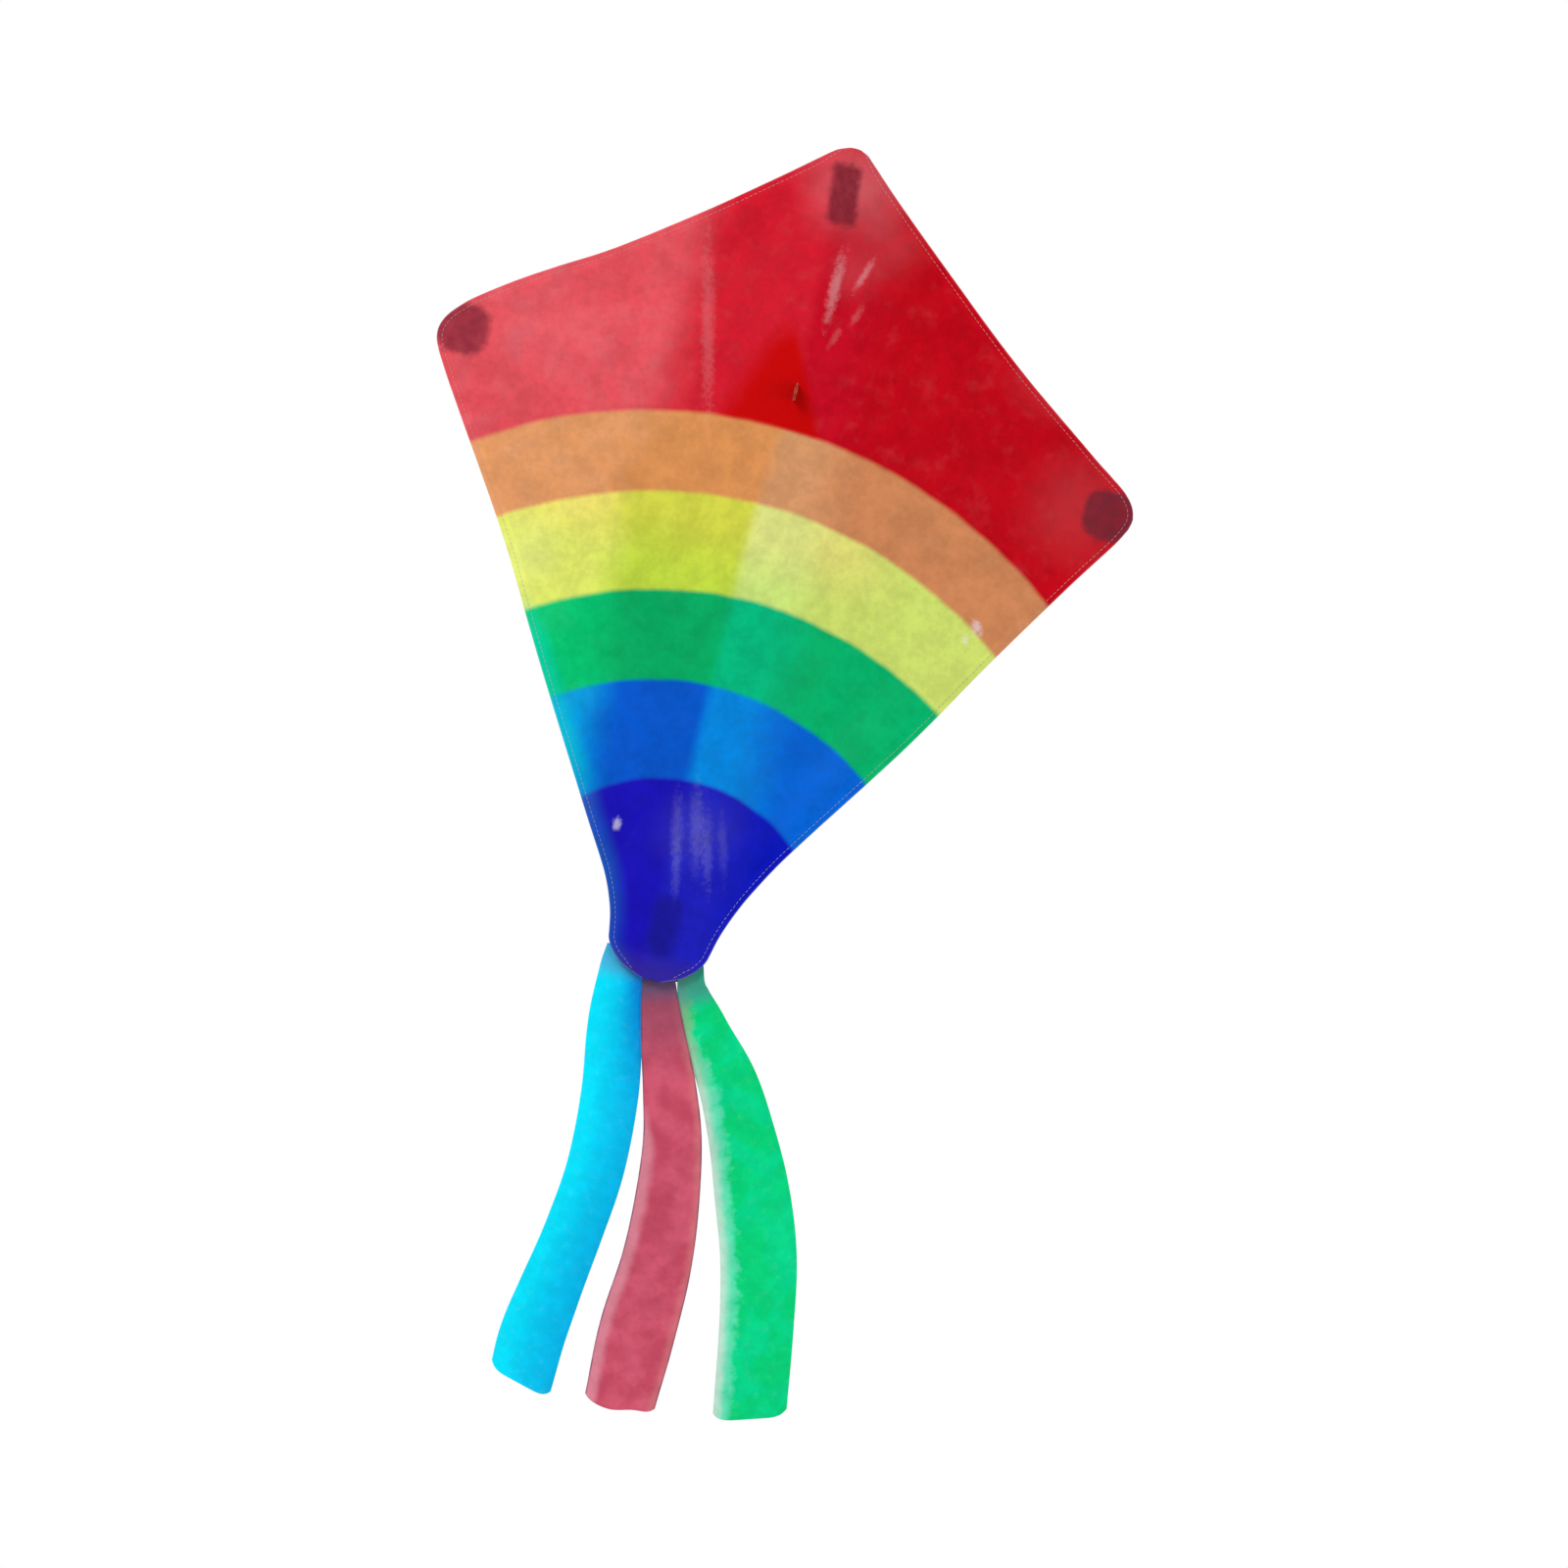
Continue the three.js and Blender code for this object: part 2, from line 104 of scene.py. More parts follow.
ROD_RADIUS = 1.5
SPAR_INNER, SPAR_OUTER = 10, 287
SPAR_TILT = math.radians(2.4)
CAP = {"radius": 2.6, "length": 12, "floor": 1.5, "bore": 1.65}
SAIL_CLOTH = 0.3
HEM = {"width": 9, "extra": 0.45}
BILLOW = {"lower": 13, "upper": 6, "from": 16, "upper panel": (20, 205), "lower panel": (-420, -20)}
SLIT = {"height": 24, "half_height": 7.4, "half_width": 1.2}
POCKET_CLOTH = 0.5
POCKET_ARCH = 3.8
NOSE_POCKET = {"low": 166, "high": 220, "half_width": 10}
TAIL_POCKET = {"low": -471, "high": -412, "half_width": 12.5}
TIP_POCKET = {"centre": 279, "radius": 20.5, "crest": 9.1, "shoulder": 10, "stitch": 18.4, "hem": 0.35}
TIES = {"upper": 96, "lower": -212}
TIE = {"half_width": 8, "half_height": 6, "arch": 2.75}
PATCH = {"reach": 30, "top": 46, "shoulder": 12, "bottom": -30, "thickness": 0.5}
FLAT_HALF = {"pocket": 17.5, "tie": 14}  # the flat width of half a pocket or tie
HUB = {"radius": 3.6, "bore": 1.8, "half_height": 15, "stub": 3.2, "reach": 5.6}
PAD = {"half_width": 4, "half_height": 9, "front": 2.1, "back": 4.6}
ARM = {"start": 5.7, "end": 36, "radius": 3.2, "bore": 1.7, "bent_by": 9.6}
EYE = {"y": -17.1, "height": 24, "hole": 3.9, "bore": 3.2, "flange": 5.6}
TAB = {"half_width": 7, "layer": 0.78, "loop": 2.6, "root": 2.3}
TAPE = {"left": -39, "right": 39, "low": -475, "high": -453, "y": 4.8, "thickness": 0.8, "corner": 9}
THREAD = 0.17
SEWN_GAP = 0.06  # left between a cloth and what is sewn on it
FLOOR_DROP = 480
RIBBON_HOLD = -463  # where the ribbons' tops are sewn to the front of the tape

# Each ribbon: its middle line [x, z] from its sewn top down, its widths as [length down, width], its
# ripple as depth, waves and phase, how its lower end slants and curls, and how far back it hangs.
RIBBONS = {
    "cyan": {
        "line": [[-26, -457], [-26, -478.5], [-20, -525], [-11, -580], [-8, -640],
                 [-13, -695], [-21, -750], [-26, -790], [-27, -831]],
        "widths": [[0, 34], [20, 37], [45, 43], [65, 46], [115, 48], [245, 49], [330, 55], [385, 54]],
        "ripple": (5, 1.4, 0.3), "slant": -6, "curl": 0, "layer": 0.0,
    },
    "rose": {
        "line": [[6, -457], [6.5, -478.5], [20, -520], [36, -562], [49, -605],
                 [57, -660], [60, -710], [58, -765], [58, -831]],
        "widths": [[0, 22], [22, 28], [56, 35], [106, 44], [176, 51], [246, 58], [316, 64], [386, 59]],
        "ripple": (6, 1.2, 2.2), "slant": 2, "curl": 5, "layer": -0.9,
    },
    "green": {
        "line": [[29, -457], [35, -478.5], [54, -510], [81, -545], [103, -585],
                 [123, -630], [141, -680], [153, -735], [166, -814]],
        "widths": [[0, 20], [22, 25], [50, 38], [100, 49], [150, 56],
                   [200, 63], [253, 64], [309, 62], [386, 61]],
        "ripple": (6, 1.3, 4.1), "slant": 4, "curl": 0, "layer": 0.9,
    },
}

# ---- placing ----


def at(points):
    """Kite millimetres to the frame's metres, for one point or an array of them."""
    return np.asarray(points, float) * MM + np.array([0, SPINE_Y, CROSSING_Z])


def stacked(*parts):
    """Points, or other rows, from their parts, which are arrays or single numbers."""
    return np.stack(np.broadcast_arrays(*parts), axis=-1).astype(float)


def wing(side, distance, depth, height):
    """A point of a wing's plane in kite millimetres. Depth is measured back from the printed face."""
    x = side * (distance * math.cos(SWEEP) - depth * math.sin(SWEEP))
    y = distance * math.sin(SWEEP) + depth * math.cos(SWEEP) - SAIL_DEPTH
    return stacked(x, y, height)


def backward(side):
    """The direction square to a wing, away from its printed face."""
    return np.array([side * -math.sin(SWEEP), math.cos(SWEEP), 0.0])


def spar(side, along, y=0.0, z=0.0):
    """A point beside the spar's axis: along it, behind it and above it, in kite millimetres."""
    distance = along * math.cos(SPAR_TILT) + side * z * math.sin(SPAR_TILT)
    height = -side * along * math.sin(SPAR_TILT) + z * math.cos(SPAR_TILT)
    return wing(side, distance, y + SAIL_DEPTH, height)


def round_spar(side, start=0):
    """Places a lathe form round a spar."""
    return lambda along, u, v: spar(side, start + along, u, v)


def round_spine(start=0, direction=1):
    """Places a lathe form round the spine."""
    return lambda along, u, v: stacked(u, v, start + direction * along)


def smooth(value, low=0.0, high=1.0):
    t = np.clip((np.asarray(value, float) - low) / (high - low), 0, 1)
    return t * t * (3 - 2 * t)


def wander(points, scale, seed=0.0):
    """Smooth noise from -1 to 1 over points in millimetres, with features about scale wide."""
    flat = points.reshape(-1, 3) / scale
    values = [noise.noise(Vector((x, y + seed, z - seed))) for x, y, z in flat]
    return np.array(values).reshape(points.shape[:-1])


def lengths(line):
    """The length along a line of points to each of them."""
    return np.concatenate([[0], np.cumsum(np.linalg.norm(np.diff(line, axis=0), axis=1))])


def read_along(line, along, where):
    """A line's rows at the lengths where, with its own rows at the lengths along."""
    return np.stack([np.interp(where, along, column) for column in line.T], axis=1)


def spaced(line, count):
    along = lengths(line)
    return read_along(line, along, np.linspace(0, along[-1], count))


def curve_through(knots, count):
    """A smooth line through the knots, at count points that are evenly spaced along it."""
    knots = np.asarray(knots, float)
    slopes = np.gradient(knots, axis=0)
    t = np.linspace(0, 1, 24, endpoint=False)[:, None]
    pieces = []
    for a, b, m, n in zip(knots, knots[1:], slopes, slopes[1:]):
        rise = a * (1 + 2 * t) * (1 - t) ** 2 + m * t * (1 - t) ** 2
        pieces.append(rise + b * t * t * (3 - 2 * t) - n * t * t * (1 - t))
    return spaced(np.concatenate([*pieces, knots[-1:]]), count)


# ---- meshes ----


@contextlib.contextmanager
def opened(piece):
    """A piece's mesh to work on, put back when the block ends."""
    work = bmesh.new()
    work.from_mesh(piece.data)
    yield work
    work.to_mesh(piece.data)
    work.free()


class Shape:
    """Vertices in kite millimetres and faces, gathered for one piece, with values for its material."""

    def __init__(self):
        self.points, self.faces, self.values = [], [], {}
        self.count = 0

    def add(self, points, faces, **values):
        points = np.asarray(points, float).reshape(-1, 3)
        self.points.append(points)
        self.faces += [[i + self.count for i in face] for face in faces]
        for name, value in values.items():
            self.values.setdefault(name, []).append(np.asarray(value, float).reshape(-1, 3))
        self.count += len(points)
        return self

    def piece(self, name, look, slot=None):
        """The finished Blender object. Its material reads the attribute place, in kite millimetres."""
        points = np.concatenate(self.points)
        mesh = bpy.data.meshes.new(name)
        mesh.from_pydata(at(points).tolist(), [], self.faces)
        for label, value in {"place": [points], **self.values}.items():
            write_attribute(mesh, label, np.concatenate(value))
        mesh.polygons.foreach_set("use_smooth", [True] * len(mesh.polygons))
        mesh.materials.append(look)
        mesh.update()
        made = in_scene(name, mesh)
        return made if slot else made

    def solid(self, name, look, slot=None, crisp=None, welded=False):
        """A closed piece with its faces turned outwards. Edges sharper than crisp degrees stay crisp,
        and where it is welded, points that lie on each other are merged."""
        made = self.piece(name, look, slot)
        if welded:
            with opened(made) as work:
                bmesh.ops.remove_doubles(work, verts=work.verts, dist=1e-6)
        with opened(made) as work:
            bmesh.ops.recalc_face_normals(work, faces=work.faces)
        if crisp:
            with opened(made) as work:
                for edge in work.edges:
                    if len(edge.link_faces) == 2 and edge.calc_face_angle() > math.radians(crisp):
                        edge.smooth = False
        return made


def in_scene(name, data):
    made = bpy.data.objects.new(name, data)
    bpy.context.scene.collection.objects.link(made)
    return made


def write_attribute(mesh, label, rows):
    attribute = mesh.attributes.new(label, "FLOAT_VECTOR", "POINT")
    attribute.data.foreach_set("vector", rows.astype(np.float32).ravel())


def grid_faces(rows, columns, start=0, wrap=False):
    """Quads between neighbouring points of a grid. A wrapped grid's last column meets its first."""
    index = start + np.arange(rows * columns).reshape(rows, columns)
    if wrap:
        index = np.hstack([index, index[:, :1]])
    quads = np.stack([index[:-1, :-1], index[:-1, 1:], index[1:, 1:], index[1:, :-1]], axis=-1)
    return quads.reshape(-1, 4).tolist()


def between_grids(shape, front, back, rims, ends=(), **values):
    """A closed form between two grids of points, walled along rims, which are lines of places in a grid.
    Values are given for one grid and hold for both. solid() turns the faces outwards."""
    rows, columns = front.shape[:2]
    half = rows * columns
    faces = grid_faces(rows, columns) + grid_faces(rows, columns, half) + list(ends)
    for rim in rims:
        faces += [[a, a + half, b + half, b] for a, b in zip(rim, rim[1:])]
    both = {name: np.concatenate([value.reshape(-1, 3)] * 2) for name, value in values.items()}
    return shape.add(np.concatenate([front.reshape(-1, 3), back.reshape(-1, 3)]), faces, **both)


def sheet(shape, front, back, **values):
    """A thin closed sheet between two grids of points."""
    index = np.arange(front[..., 0].size).reshape(front.shape[:2])
    rim = [*index[0], *index[1:, -1], *index[-1, -2::-1], *index[-2::-1, 0]]
    return between_grids(shape, front, back, [rim], **values)


def plate(shape, inner, outer, holed=True, **values):
    """A round plate between two polar grids whose first and last columns meet, holed or filled."""
    rows, columns = inner.shape[:2]
    half = rows * columns
    hole, edge = list(range(columns)), list(range(half - columns, half))
    if holed:
        return between_grids(shape, inner, outer, [hole, edge], **values)
    ends = [hole[:-1], [half + i for i in hole[:-1]]]
    return between_grids(shape, inner, outer, [edge], ends, **values)


def tube(shape, line, radius, sides):
    """A closed tube along a line of points."""
    ahead = np.gradient(line, axis=0)
    ahead /= np.linalg.norm(ahead, axis=1, keepdims=True)
    first = np.cross(ahead[0], [0.31, 0.86, 0.41])  # any direction that no stitch runs in
    turn = np.arange(sides) / sides * 2 * math.pi
    rings = []
    for point, forward in zip(line, ahead):
        first = first - forward * (first @ forward)
        first = first / np.linalg.norm(first)
        second = np.cross(forward, first)
        rings.append(point + radius * (np.cos(turn)[:, None] * first + np.sin(turn)[:, None] * second))
    last = (len(line) - 1) * sides
    ends = [list(range(sides))[::-1], [last + i for i in range(sides)]]
    return shape.add(np.concatenate(rings), grid_faces(len(line), sides, wrap=True) + ends)


def turned(shape, profile, place, sides=40):
    """A lathe form: profile is [radius, along] pairs, and place(along, u, v) puts them round an axis.

    A profile that starts and ends on the axis is capped there, and any other one closes on itself.
    The attribute axial holds along, u and v for the material."""
    on_axis = profile[0][0] == 0
    radius, along = np.array(profile[1:-1] if on_axis else profile, float).T
    turn = np.arange(sides) / sides * 2 * math.pi
    u, v = radius[:, None] * np.cos(turn), radius[:, None] * np.sin(turn)
    axial = stacked(along[:, None], u, v).reshape(-1, 3)
    faces = grid_faces(len(radius), sides, wrap=True)
    last = (len(radius) - 1) * sides
    ring = [(j, (j + 1) % sides) for j in range(sides)]
    if on_axis:
        start, end = last + sides, last + sides + 1
        axial = np.concatenate([axial, [[profile[0][1], 0, 0], [profile[-1][1], 0, 0]]])
        faces += [[start, k, j] for j, k in ring] + [[end, last + j, last + k] for j, k in ring]
    else:
        faces += [[last + j, last + k, k, j] for j, k in ring]
    return shape.add(place(*axial.T), faces, axial=axial)


# A stitch's points: shares of its length from its middle, and how far each is off the cloth.
STITCH_SHARES = np.array([-0.5, -0.36, 0, 0.36, 0.5])
STITCH_RISE = np.array([-0.12, THREAD * 0.5, THREAD * 0.8, THREAD * 0.5, -0.12])


def stitches(shape, line, outward, length=2.6, gap=1.5):
    """A run of short stitches along a line that lies on a surface, each one rising a little from it."""
    outward = np.broadcast_to(np.asarray(outward, float), line.shape)
    along = lengths(line)
    count = max(int(along[-1] // (length + gap)), 1)
    for i in range(count):
        where = (i + 0.5) * along[-1] / count + STITCH_SHARES * length
        raised = read_along(line, along, where) + read_along(outward, along, where) * STITCH_RISE[:, None]
        tube(shape, raised, THREAD, sides=6)
    return shape


# ---- materials ----


def linear(red, green, blue):
    """A colour given as sRGB bytes, as linear values with alpha."""
    values = []
    for part in (red / 255, green / 255, blue / 255):
        values.append(part / 12.92 if part <= 0.04045 else ((part + 0.055) / 1.055) ** 2.4)
    return (*values, 1.0)


def add_node(tree, kind, inputs=(), output=0, **settings):
    """Adds a shader node and returns one of its outputs. Inputs are a list, or a dict by name or place."""
    made = tree.nodes.new(f"ShaderNode{kind}")
    for name, setting in settings.items():
        setattr(made, name, setting)
    for key, value in inputs.items() if isinstance(inputs, dict) else enumerate(inputs):
        plug(tree, made.inputs[key], value)
    return made.outputs[output]


def plug(tree, socket, value):
    """Links a value to a socket, or sets the socket to a plain number or colour."""
    value = getattr(value, "socket", value)
    if isinstance(value, bpy.types.NodeSocket):
        tree.links.new(value, socket)
    else:
        socket.default_value = value


def arithmetic(operation):
    return lambda a, b: a.look.math(operation, a, b)


class Value:
    """What a material works out at each point. Arithmetic on it adds nodes."""

    __add__, __sub__ = arithmetic("ADD"), arithmetic("SUBTRACT")
    __mul__, __truediv__ = arithmetic("MULTIPLY"), arithmetic("DIVIDE")

    def __init__(self, look, socket):
        self.look, self.socket = look, socket

    def between(self, low, high, to_low=0.0, to_high=1.0, eased=True):
        """Mapped from low..high to to_low..to_high, and held at the ends."""
        kind = "SMOOTHSTEP" if eased else "LINEAR"
        return self.look.node("MapRange", (self, low, high, to_low, to_high), interpolation_type=kind)

    def wave(self, pitch):
        """From -1 to 1 and back with every pitch."""
        return self.look.math("SINE", self * (2 * math.pi / pitch))

    def split(self):
        return [self.look.node("SeparateXYZ", (self,), part) for part in range(3)]


class Look:
    """A material being made. It reads an attribute of the piece, in millimetres."""

    def __init__(self, name, reads="place", **uniform):
        self.material = bpy.data.materials.new(name)
        self.material.use_nodes = True
        self.tree = self.material.node_tree
        self.shader = self.tree.nodes["Principled BSDF"]
        for label, value in uniform.items():
            self.set(label.replace("_", " ").title().replace("Ior", "IOR"), value)
        self.place = self.attribute(reads)
        self.x, self.y, self.z = self.place.split()

    def set(self, label, value):
        plug(self.tree, self.shader.inputs[label], value)

    def node(self, *facts, **settings):
        return Value(self, add_node(self.tree, *facts, **settings))

    def attribute(self, name):
        return self.node("Attribute", (), "Vector", attribute_name=name)

    def math(self, operation, *inputs):
        return self.node("Math", inputs, operation=operation)

    def noise(self, size, detail=2, roughness=0.5, over=None):
        """Noise from 0 to 1 with features about size wide, in the units of the vector it is made over."""
        inputs = {"Vector": over or self.place, "Scale": 1 / size, "Detail": detail, "Roughness": roughness}
        return self.node("TexNoise", inputs, "Fac")

    def drift(self, size, reach, detail=2, roughness=0.5):
        """Noise from -reach to reach."""
        return self.noise(size, detail, roughness) * (2 * reach) - reach

    def stretched(self, x, y, z, vector=None):
        return self.node("VectorMath", (vector or self.place, (x, y, z)), operation="MULTIPLY")

    def mix(self, factor, a, b, blend="MIX"):
        return self.node("Mix", {0: factor, 6: a, 7: b}, 2, data_type="RGBA", blend_type=blend)

    def brightened(self, colour, amount):
        """The colour scaled by an amount near 1."""
        return self.mix(1.0, colour, self.node("CombineXYZ", (amount, amount, amount)), "MULTIPLY")

    def off(self, centre, half=(0, 0), x=None):
        """How far the point is outside a box round centre: a plain distance where half is zero."""
        squares = []
        for value, middle_of, reach in zip((x or self.x, self.z), centre, half):
            outside = self.math("MAXIMUM", self.math("ABSOLUTE", value - middle_of) - reach, 0.0)
            squares.append(outside * outside)
        return self.math("SQRT", squares[0] + squares[1])

    def weave(self, x, z, pitch):
        """A plain weave's height from 0 to 1, with a thread every pitch."""
        return x.wave(pitch) * z.wave(pitch) * 0.5 + 0.5

    def finished(self, colour, *layers, roughness=None, through=0.0):
        """The material, with its bumps as (height, distance in millimetres, strength) layers. A share
        of the light goes through it, as it does through thin cloth."""
        normal = {}
        for height, distance, strength in layers:
            inputs = {"Height": height, "Distance": distance * MM, "Strength": strength, **normal}
            normal = {"Normal": self.node("Bump", inputs)}
        for label, value in {"Base Color": colour, "Roughness": roughness, **normal}.items():
            if value is not None:
                self.set(label, value)
        if through:
            glow = self.node("BsdfTranslucent", {"Color": colour, **normal})
            mixed = self.node("MixShader", (through, self.shader.outputs[0], glow))
            plug(self.tree, self.tree.nodes["Material Output"].inputs[0], mixed)
        return self.material


# The print: six bands between five arcs, each with its own centre and radius, from the lower corner up.
ARCS = [((-3, -444), 134), ((-7, -459), 230), ((0, -478), 325), ((-11, -445), 372), ((-17, -437), 430)]
ARC_SOFTNESS = 2.8
# Each band's colour at the left margin, left of the spine, right of it and at the right margin. The
# differences between these four are painted sheen and shade on one printed colour.
BANDS = [
    [(60, 60, 192), (25, 14, 178), (28, 30, 184), (4, 18, 178)],
    [(0, 156, 218), (1, 86, 198), (0, 134, 218), (0, 98, 206)],
    [(0, 194, 113), (1, 168, 97), (0, 182, 124), (0, 176, 105)],
    [(218, 225, 103), (189, 211, 65), (199, 222, 120), (202, 217, 107)],
    [(219, 150, 97), (213, 142, 82), (210, 149, 102), (202, 132, 86)],
    [(219, 77, 86), (203, 22, 42), (192, 4, 31), (187, 1, 21)],
]
YELLOW = 3
# Dark pockets that show through: centre, half size, corner radius, softness, lean and colour.
SHADOWS = [
    ((0, 193), (7, 20), 5, 4, 0.12, (124, 28, 44)),
    ((-284, 12), (6, 4), 17, 4, 0.0, (142, 42, 58)),
    ((279, -12), (6, 4), 17, 4, 0.0, (112, 36, 50)),
    ((0, -432), (3, 16), 9, 8, 0.0, (24, 20, 142)),
]
# The white mixed in for painted sheen and highlights, and for the pale fringe along the sail's cut edge.
SHEEN_AND_FRINGE_WHITE = (0.8, 0.74, 0.8, 1)
# Painted pale sheen on the cloth: centre, reach, strength.
SHEEN_PATCHES = [((6, 202), 60, 0.12), ((50, 160), 44, 0.035), ((252, -14), 66, 0.03), ((-225, 30), 80, 0.03),
         ((-120, 4), 60, 0.015), ((24, 132), 34, 0.04), ((6, -350), 46, 0.022), ((205, 88), 50, 0.03),
         ((-190, -158), 46, 0.08)]
# Painted highlights along creases, and small painted glints: centre, half length, half width, lean to the
# left in degrees, strength.
PAINTED_GLINTS = [
    ((11, 116), 36, 6.0, 0, 0.2), ((32, 133), 18, 3.6, -18, 0.2), ((34, 98), 11, 3.8, -18, 0.08),
    ((21, 76), 12, 3.6, -20, 0.07), ((-9, -352), 38, 6.5, 12, 0.06), ((7, -348), 44, 7.5, 13, 0.07),
    ((19, -362), 42, 5.5, 14, 0.06), ((-2, -384), 32, 5.0, 12, 0.05), ((31, -356), 32, 5.0, 16, 0.04),
    ((-59, -359), 6.5, 4.6, 12, 0.5), ((193, -129), 9, 5.4, 30, 0.5), ((186, -141), 6, 4.4, 0, 0.35),
    ((-84, 60), 92, 7.0, 13.9, 0.085),
]
TAUT = {"apex": (-20, 80), "left": (-54, -12), "right": (20, -6)}


def sail_colour(look):
    """The printed rainbow, with painted sheen and highlights, a deep red where no sheen is painted, and the
    painted shade of the pockets behind it.
    """
    drift = look.drift(55, 15, 3)
    arcs = arc_masks(look)
    colour = banded(look, arcs, drift)
    in_yellow = arcs[YELLOW - 1] - arcs[YELLOW]
    warm = in_yellow * look.z.between(-150, -92, 0, 0.85) * look.x.between(140, 60)
    colour = look.mix(warm, colour, (1.24, 0.96, 1.2, 1), "MULTIPLY")
    colour = mottled(look, colour)
    # Painted pale sheen in soft patches.
    for centre, reach, strength in SHEEN_PATCHES:
        colour = look.mix((look.off(centre) + drift).between(0, reach, strength, 0), colour, SHEEN_AND_FRINGE_WHITE)
    # Deep red where the cloth is taut, where no sheen is painted.
    colour = deepened_where_taut(look, colour, arcs[-1])
    # Painted highlights along creases, and small painted glints.
    for glint in PAINTED_GLINTS:
        colour = look.mix(painted_glint(look, *glint), colour, SHEEN_AND_FRINGE_WHITE)
    purple = look.z.between(-448, -474) * 0.6
    colour = look.mix(purple, colour, linear(60, 40, 132))
    return shaded_by_pockets(look, colour)


def arc_masks(look):
    """For each arc, 0 inside it and 1 outside, with an edge that wanders a little."""
    wobble = look.drift(40, 1.8, 3)
    masks = []
    for centre, radius in ARCS:
        off = look.off(centre) + wobble
        masks.append(off.between(radius - ARC_SOFTNESS, radius + ARC_SOFTNESS))
    return masks


def banded(look, arcs, drift):
    """The six printed bands, each in four upright strips split at the spine and margins, whose differences
    are painted sheen and shade.
    """
    strips = []
    for strip in range(4):
        colour = linear(*BANDS[0][strip])
        for above_arc, band in zip(arcs, BANDS[1:]):
            colour = look.mix(above_arc, colour, linear(*band[strip]))
        strips.append(colour)
    # Painted shade and sheen: a step across the spine, a pale left margin and a deeper right margin.
    past_spine = (look.x - look.z.between(-120, 40, -10, -2)).between(-7, 7)
    left_margin = look.z.between(-100, -320, -124, -90, eased=False) + look.z.between(-60, 10, 0, 20)
    past_left = (look.x + drift - left_margin).between(-24, 24)
    past_right = (look.x + drift).between(22, 74)
    left_half = look.mix(past_left, strips[0], strips[1])
    return look.mix(past_spine, left_half, look.mix(past_right, strips[2], strips[3]))


def mottled(look, colour):
    """Soft uneven patches of tone, as thin printed cloth has, and a painted pale sheen that is strongest on
    the left.
    """
    patches = look.noise(24, 4, 0.6).between(0.3, 0.7, -0.08, 0.08)
    specks = look.noise(6, 3, 0.6).between(0.3, 0.7, -0.025, 0.025)
    toned = look.brightened(colour, patches + specks + 1.0)
    # Painted sheen: white mixed in over patches, more in the upper bands and on the left side.
    painted_sheen = look.noise(16, 3, 0.55).between(0.5, 0.8, 0, 0.016) * look.z.between(-200, -60, 0.15, 1)
    sheen_mottle = look.noise(22, 4, 0.58).between(0.42, 0.72, 0, 0.04)
    pale_side = look.x.between(-60, -150, 0.05, 1) * look.z.between(-180, -60, 0.2, 1)
    return look.mix(painted_sheen + sheen_mottle * pale_side, toned, SHEEN_AND_FRINGE_WHITE)


def deepened_where_taut(look, colour, in_red):
    """The triangle of cloth stretched taut over the crossing, deep red with the painted sheen left out."""
    apex = TAUT["apex"]
    edges = []
    for corner, shifted in ((TAUT["left"], -4), (TAUT["right"], 8)):
        lean = (apex[0] - corner[0]) / (apex[1] - corner[1])
        edges.append((look.z - apex[1]) * lean + (apex[0] + shifted))
    inside = (look.x - edges[0]).between(-14, 14) * (edges[1] - look.x).between(-5, 8)
    below_apex = look.z.between(apex[1] + 14, apex[1] - 24)
    return look.mix(inside * below_apex * in_red, colour, linear(197, 0, 1))


def painted_glint(look, centre, length, width, lean, strength):
    """A mask for one painted highlight along a crease or one small painted glint, broken up along its edges.
    """
    turn = math.radians(lean)
    dx, dz = look.x - centre[0], look.z - centre[1]
    across = (dx * math.cos(turn) + dz * math.sin(turn)) / width
    along = (dz * math.cos(turn) - dx * math.sin(turn)) / length
    off = look.math("SQRT", across * across + along * along)
    return (off + look.drift(4.5, 0.95, 4, 0.75)).between(0.1, 1.15, strength, 0)


def shaded_by_pockets(look, colour):
    """The dark pockets on the hidden side, showing through the cloth."""
    ragged = look.drift(6, 2.5)
    patchy = look.noise(9).between(0.3, 0.7, 0.82, 1)
    for centre, half, corner, softness, lean, shade in SHADOWS:
        off = look.off(centre, half, x=(look.z - centre[1]) * lean + look.x) + ragged
        mask = off.between(corner - softness, corner + softness, 0.94, 0)
        colour = look.mix(mask * patchy, colour, linear(*shade))
    return colour


def printed_cloth():
    look = Look("printed_cloth", roughness=0.5, specular_ior_level=0.04, sheen_weight=0.012)
    edge = look.attribute("hem").split()[0]
    colour = sail_colour(look)
    hem = edge.between(HEM["width"] + 0.6, HEM["width"] - 0.8)
    colour = look.brightened(colour, hem * 0.05 + 1.0)
    cool_edge = edge.between(20, 0, 0, 0.5) * look.x.between(-10, -60)
    cool_edge = cool_edge * look.z.between(-180, -236) * look.z.between(-345, -300, 0.25, 1)
    colour = look.mix(cool_edge, colour, linear(0, 214, 200))
    colour = look.mix(edge.between(1.3, 0.1, 0, 0.2) * look.noise(4), colour, SHEEN_AND_FRINGE_WHITE)
    ripstop = look.math("MAXIMUM", grid_line(look, look.x, 5), grid_line(look, look.z, 5))
    crinkle = look.noise(7, 4, 0.62, look.stretched(1, 1, 0.55))
    weave = look.weave(look.x, look.z, 0.5)
    return look.finished(colour, (crinkle, 0.9, 0.35), (weave, 0.05, 0.35), (ripstop, 0.08, 0.6),
                         roughness=look.noise(12, 3).between(0.3, 0.7, 0.4, 0.56), through=0.18)


def grid_line(look, value, pitch):
    """A thin raised line every pitch."""
    return look.math("ABSOLUTE", value.wave(2 * pitch)).between(0.12, 0.02)


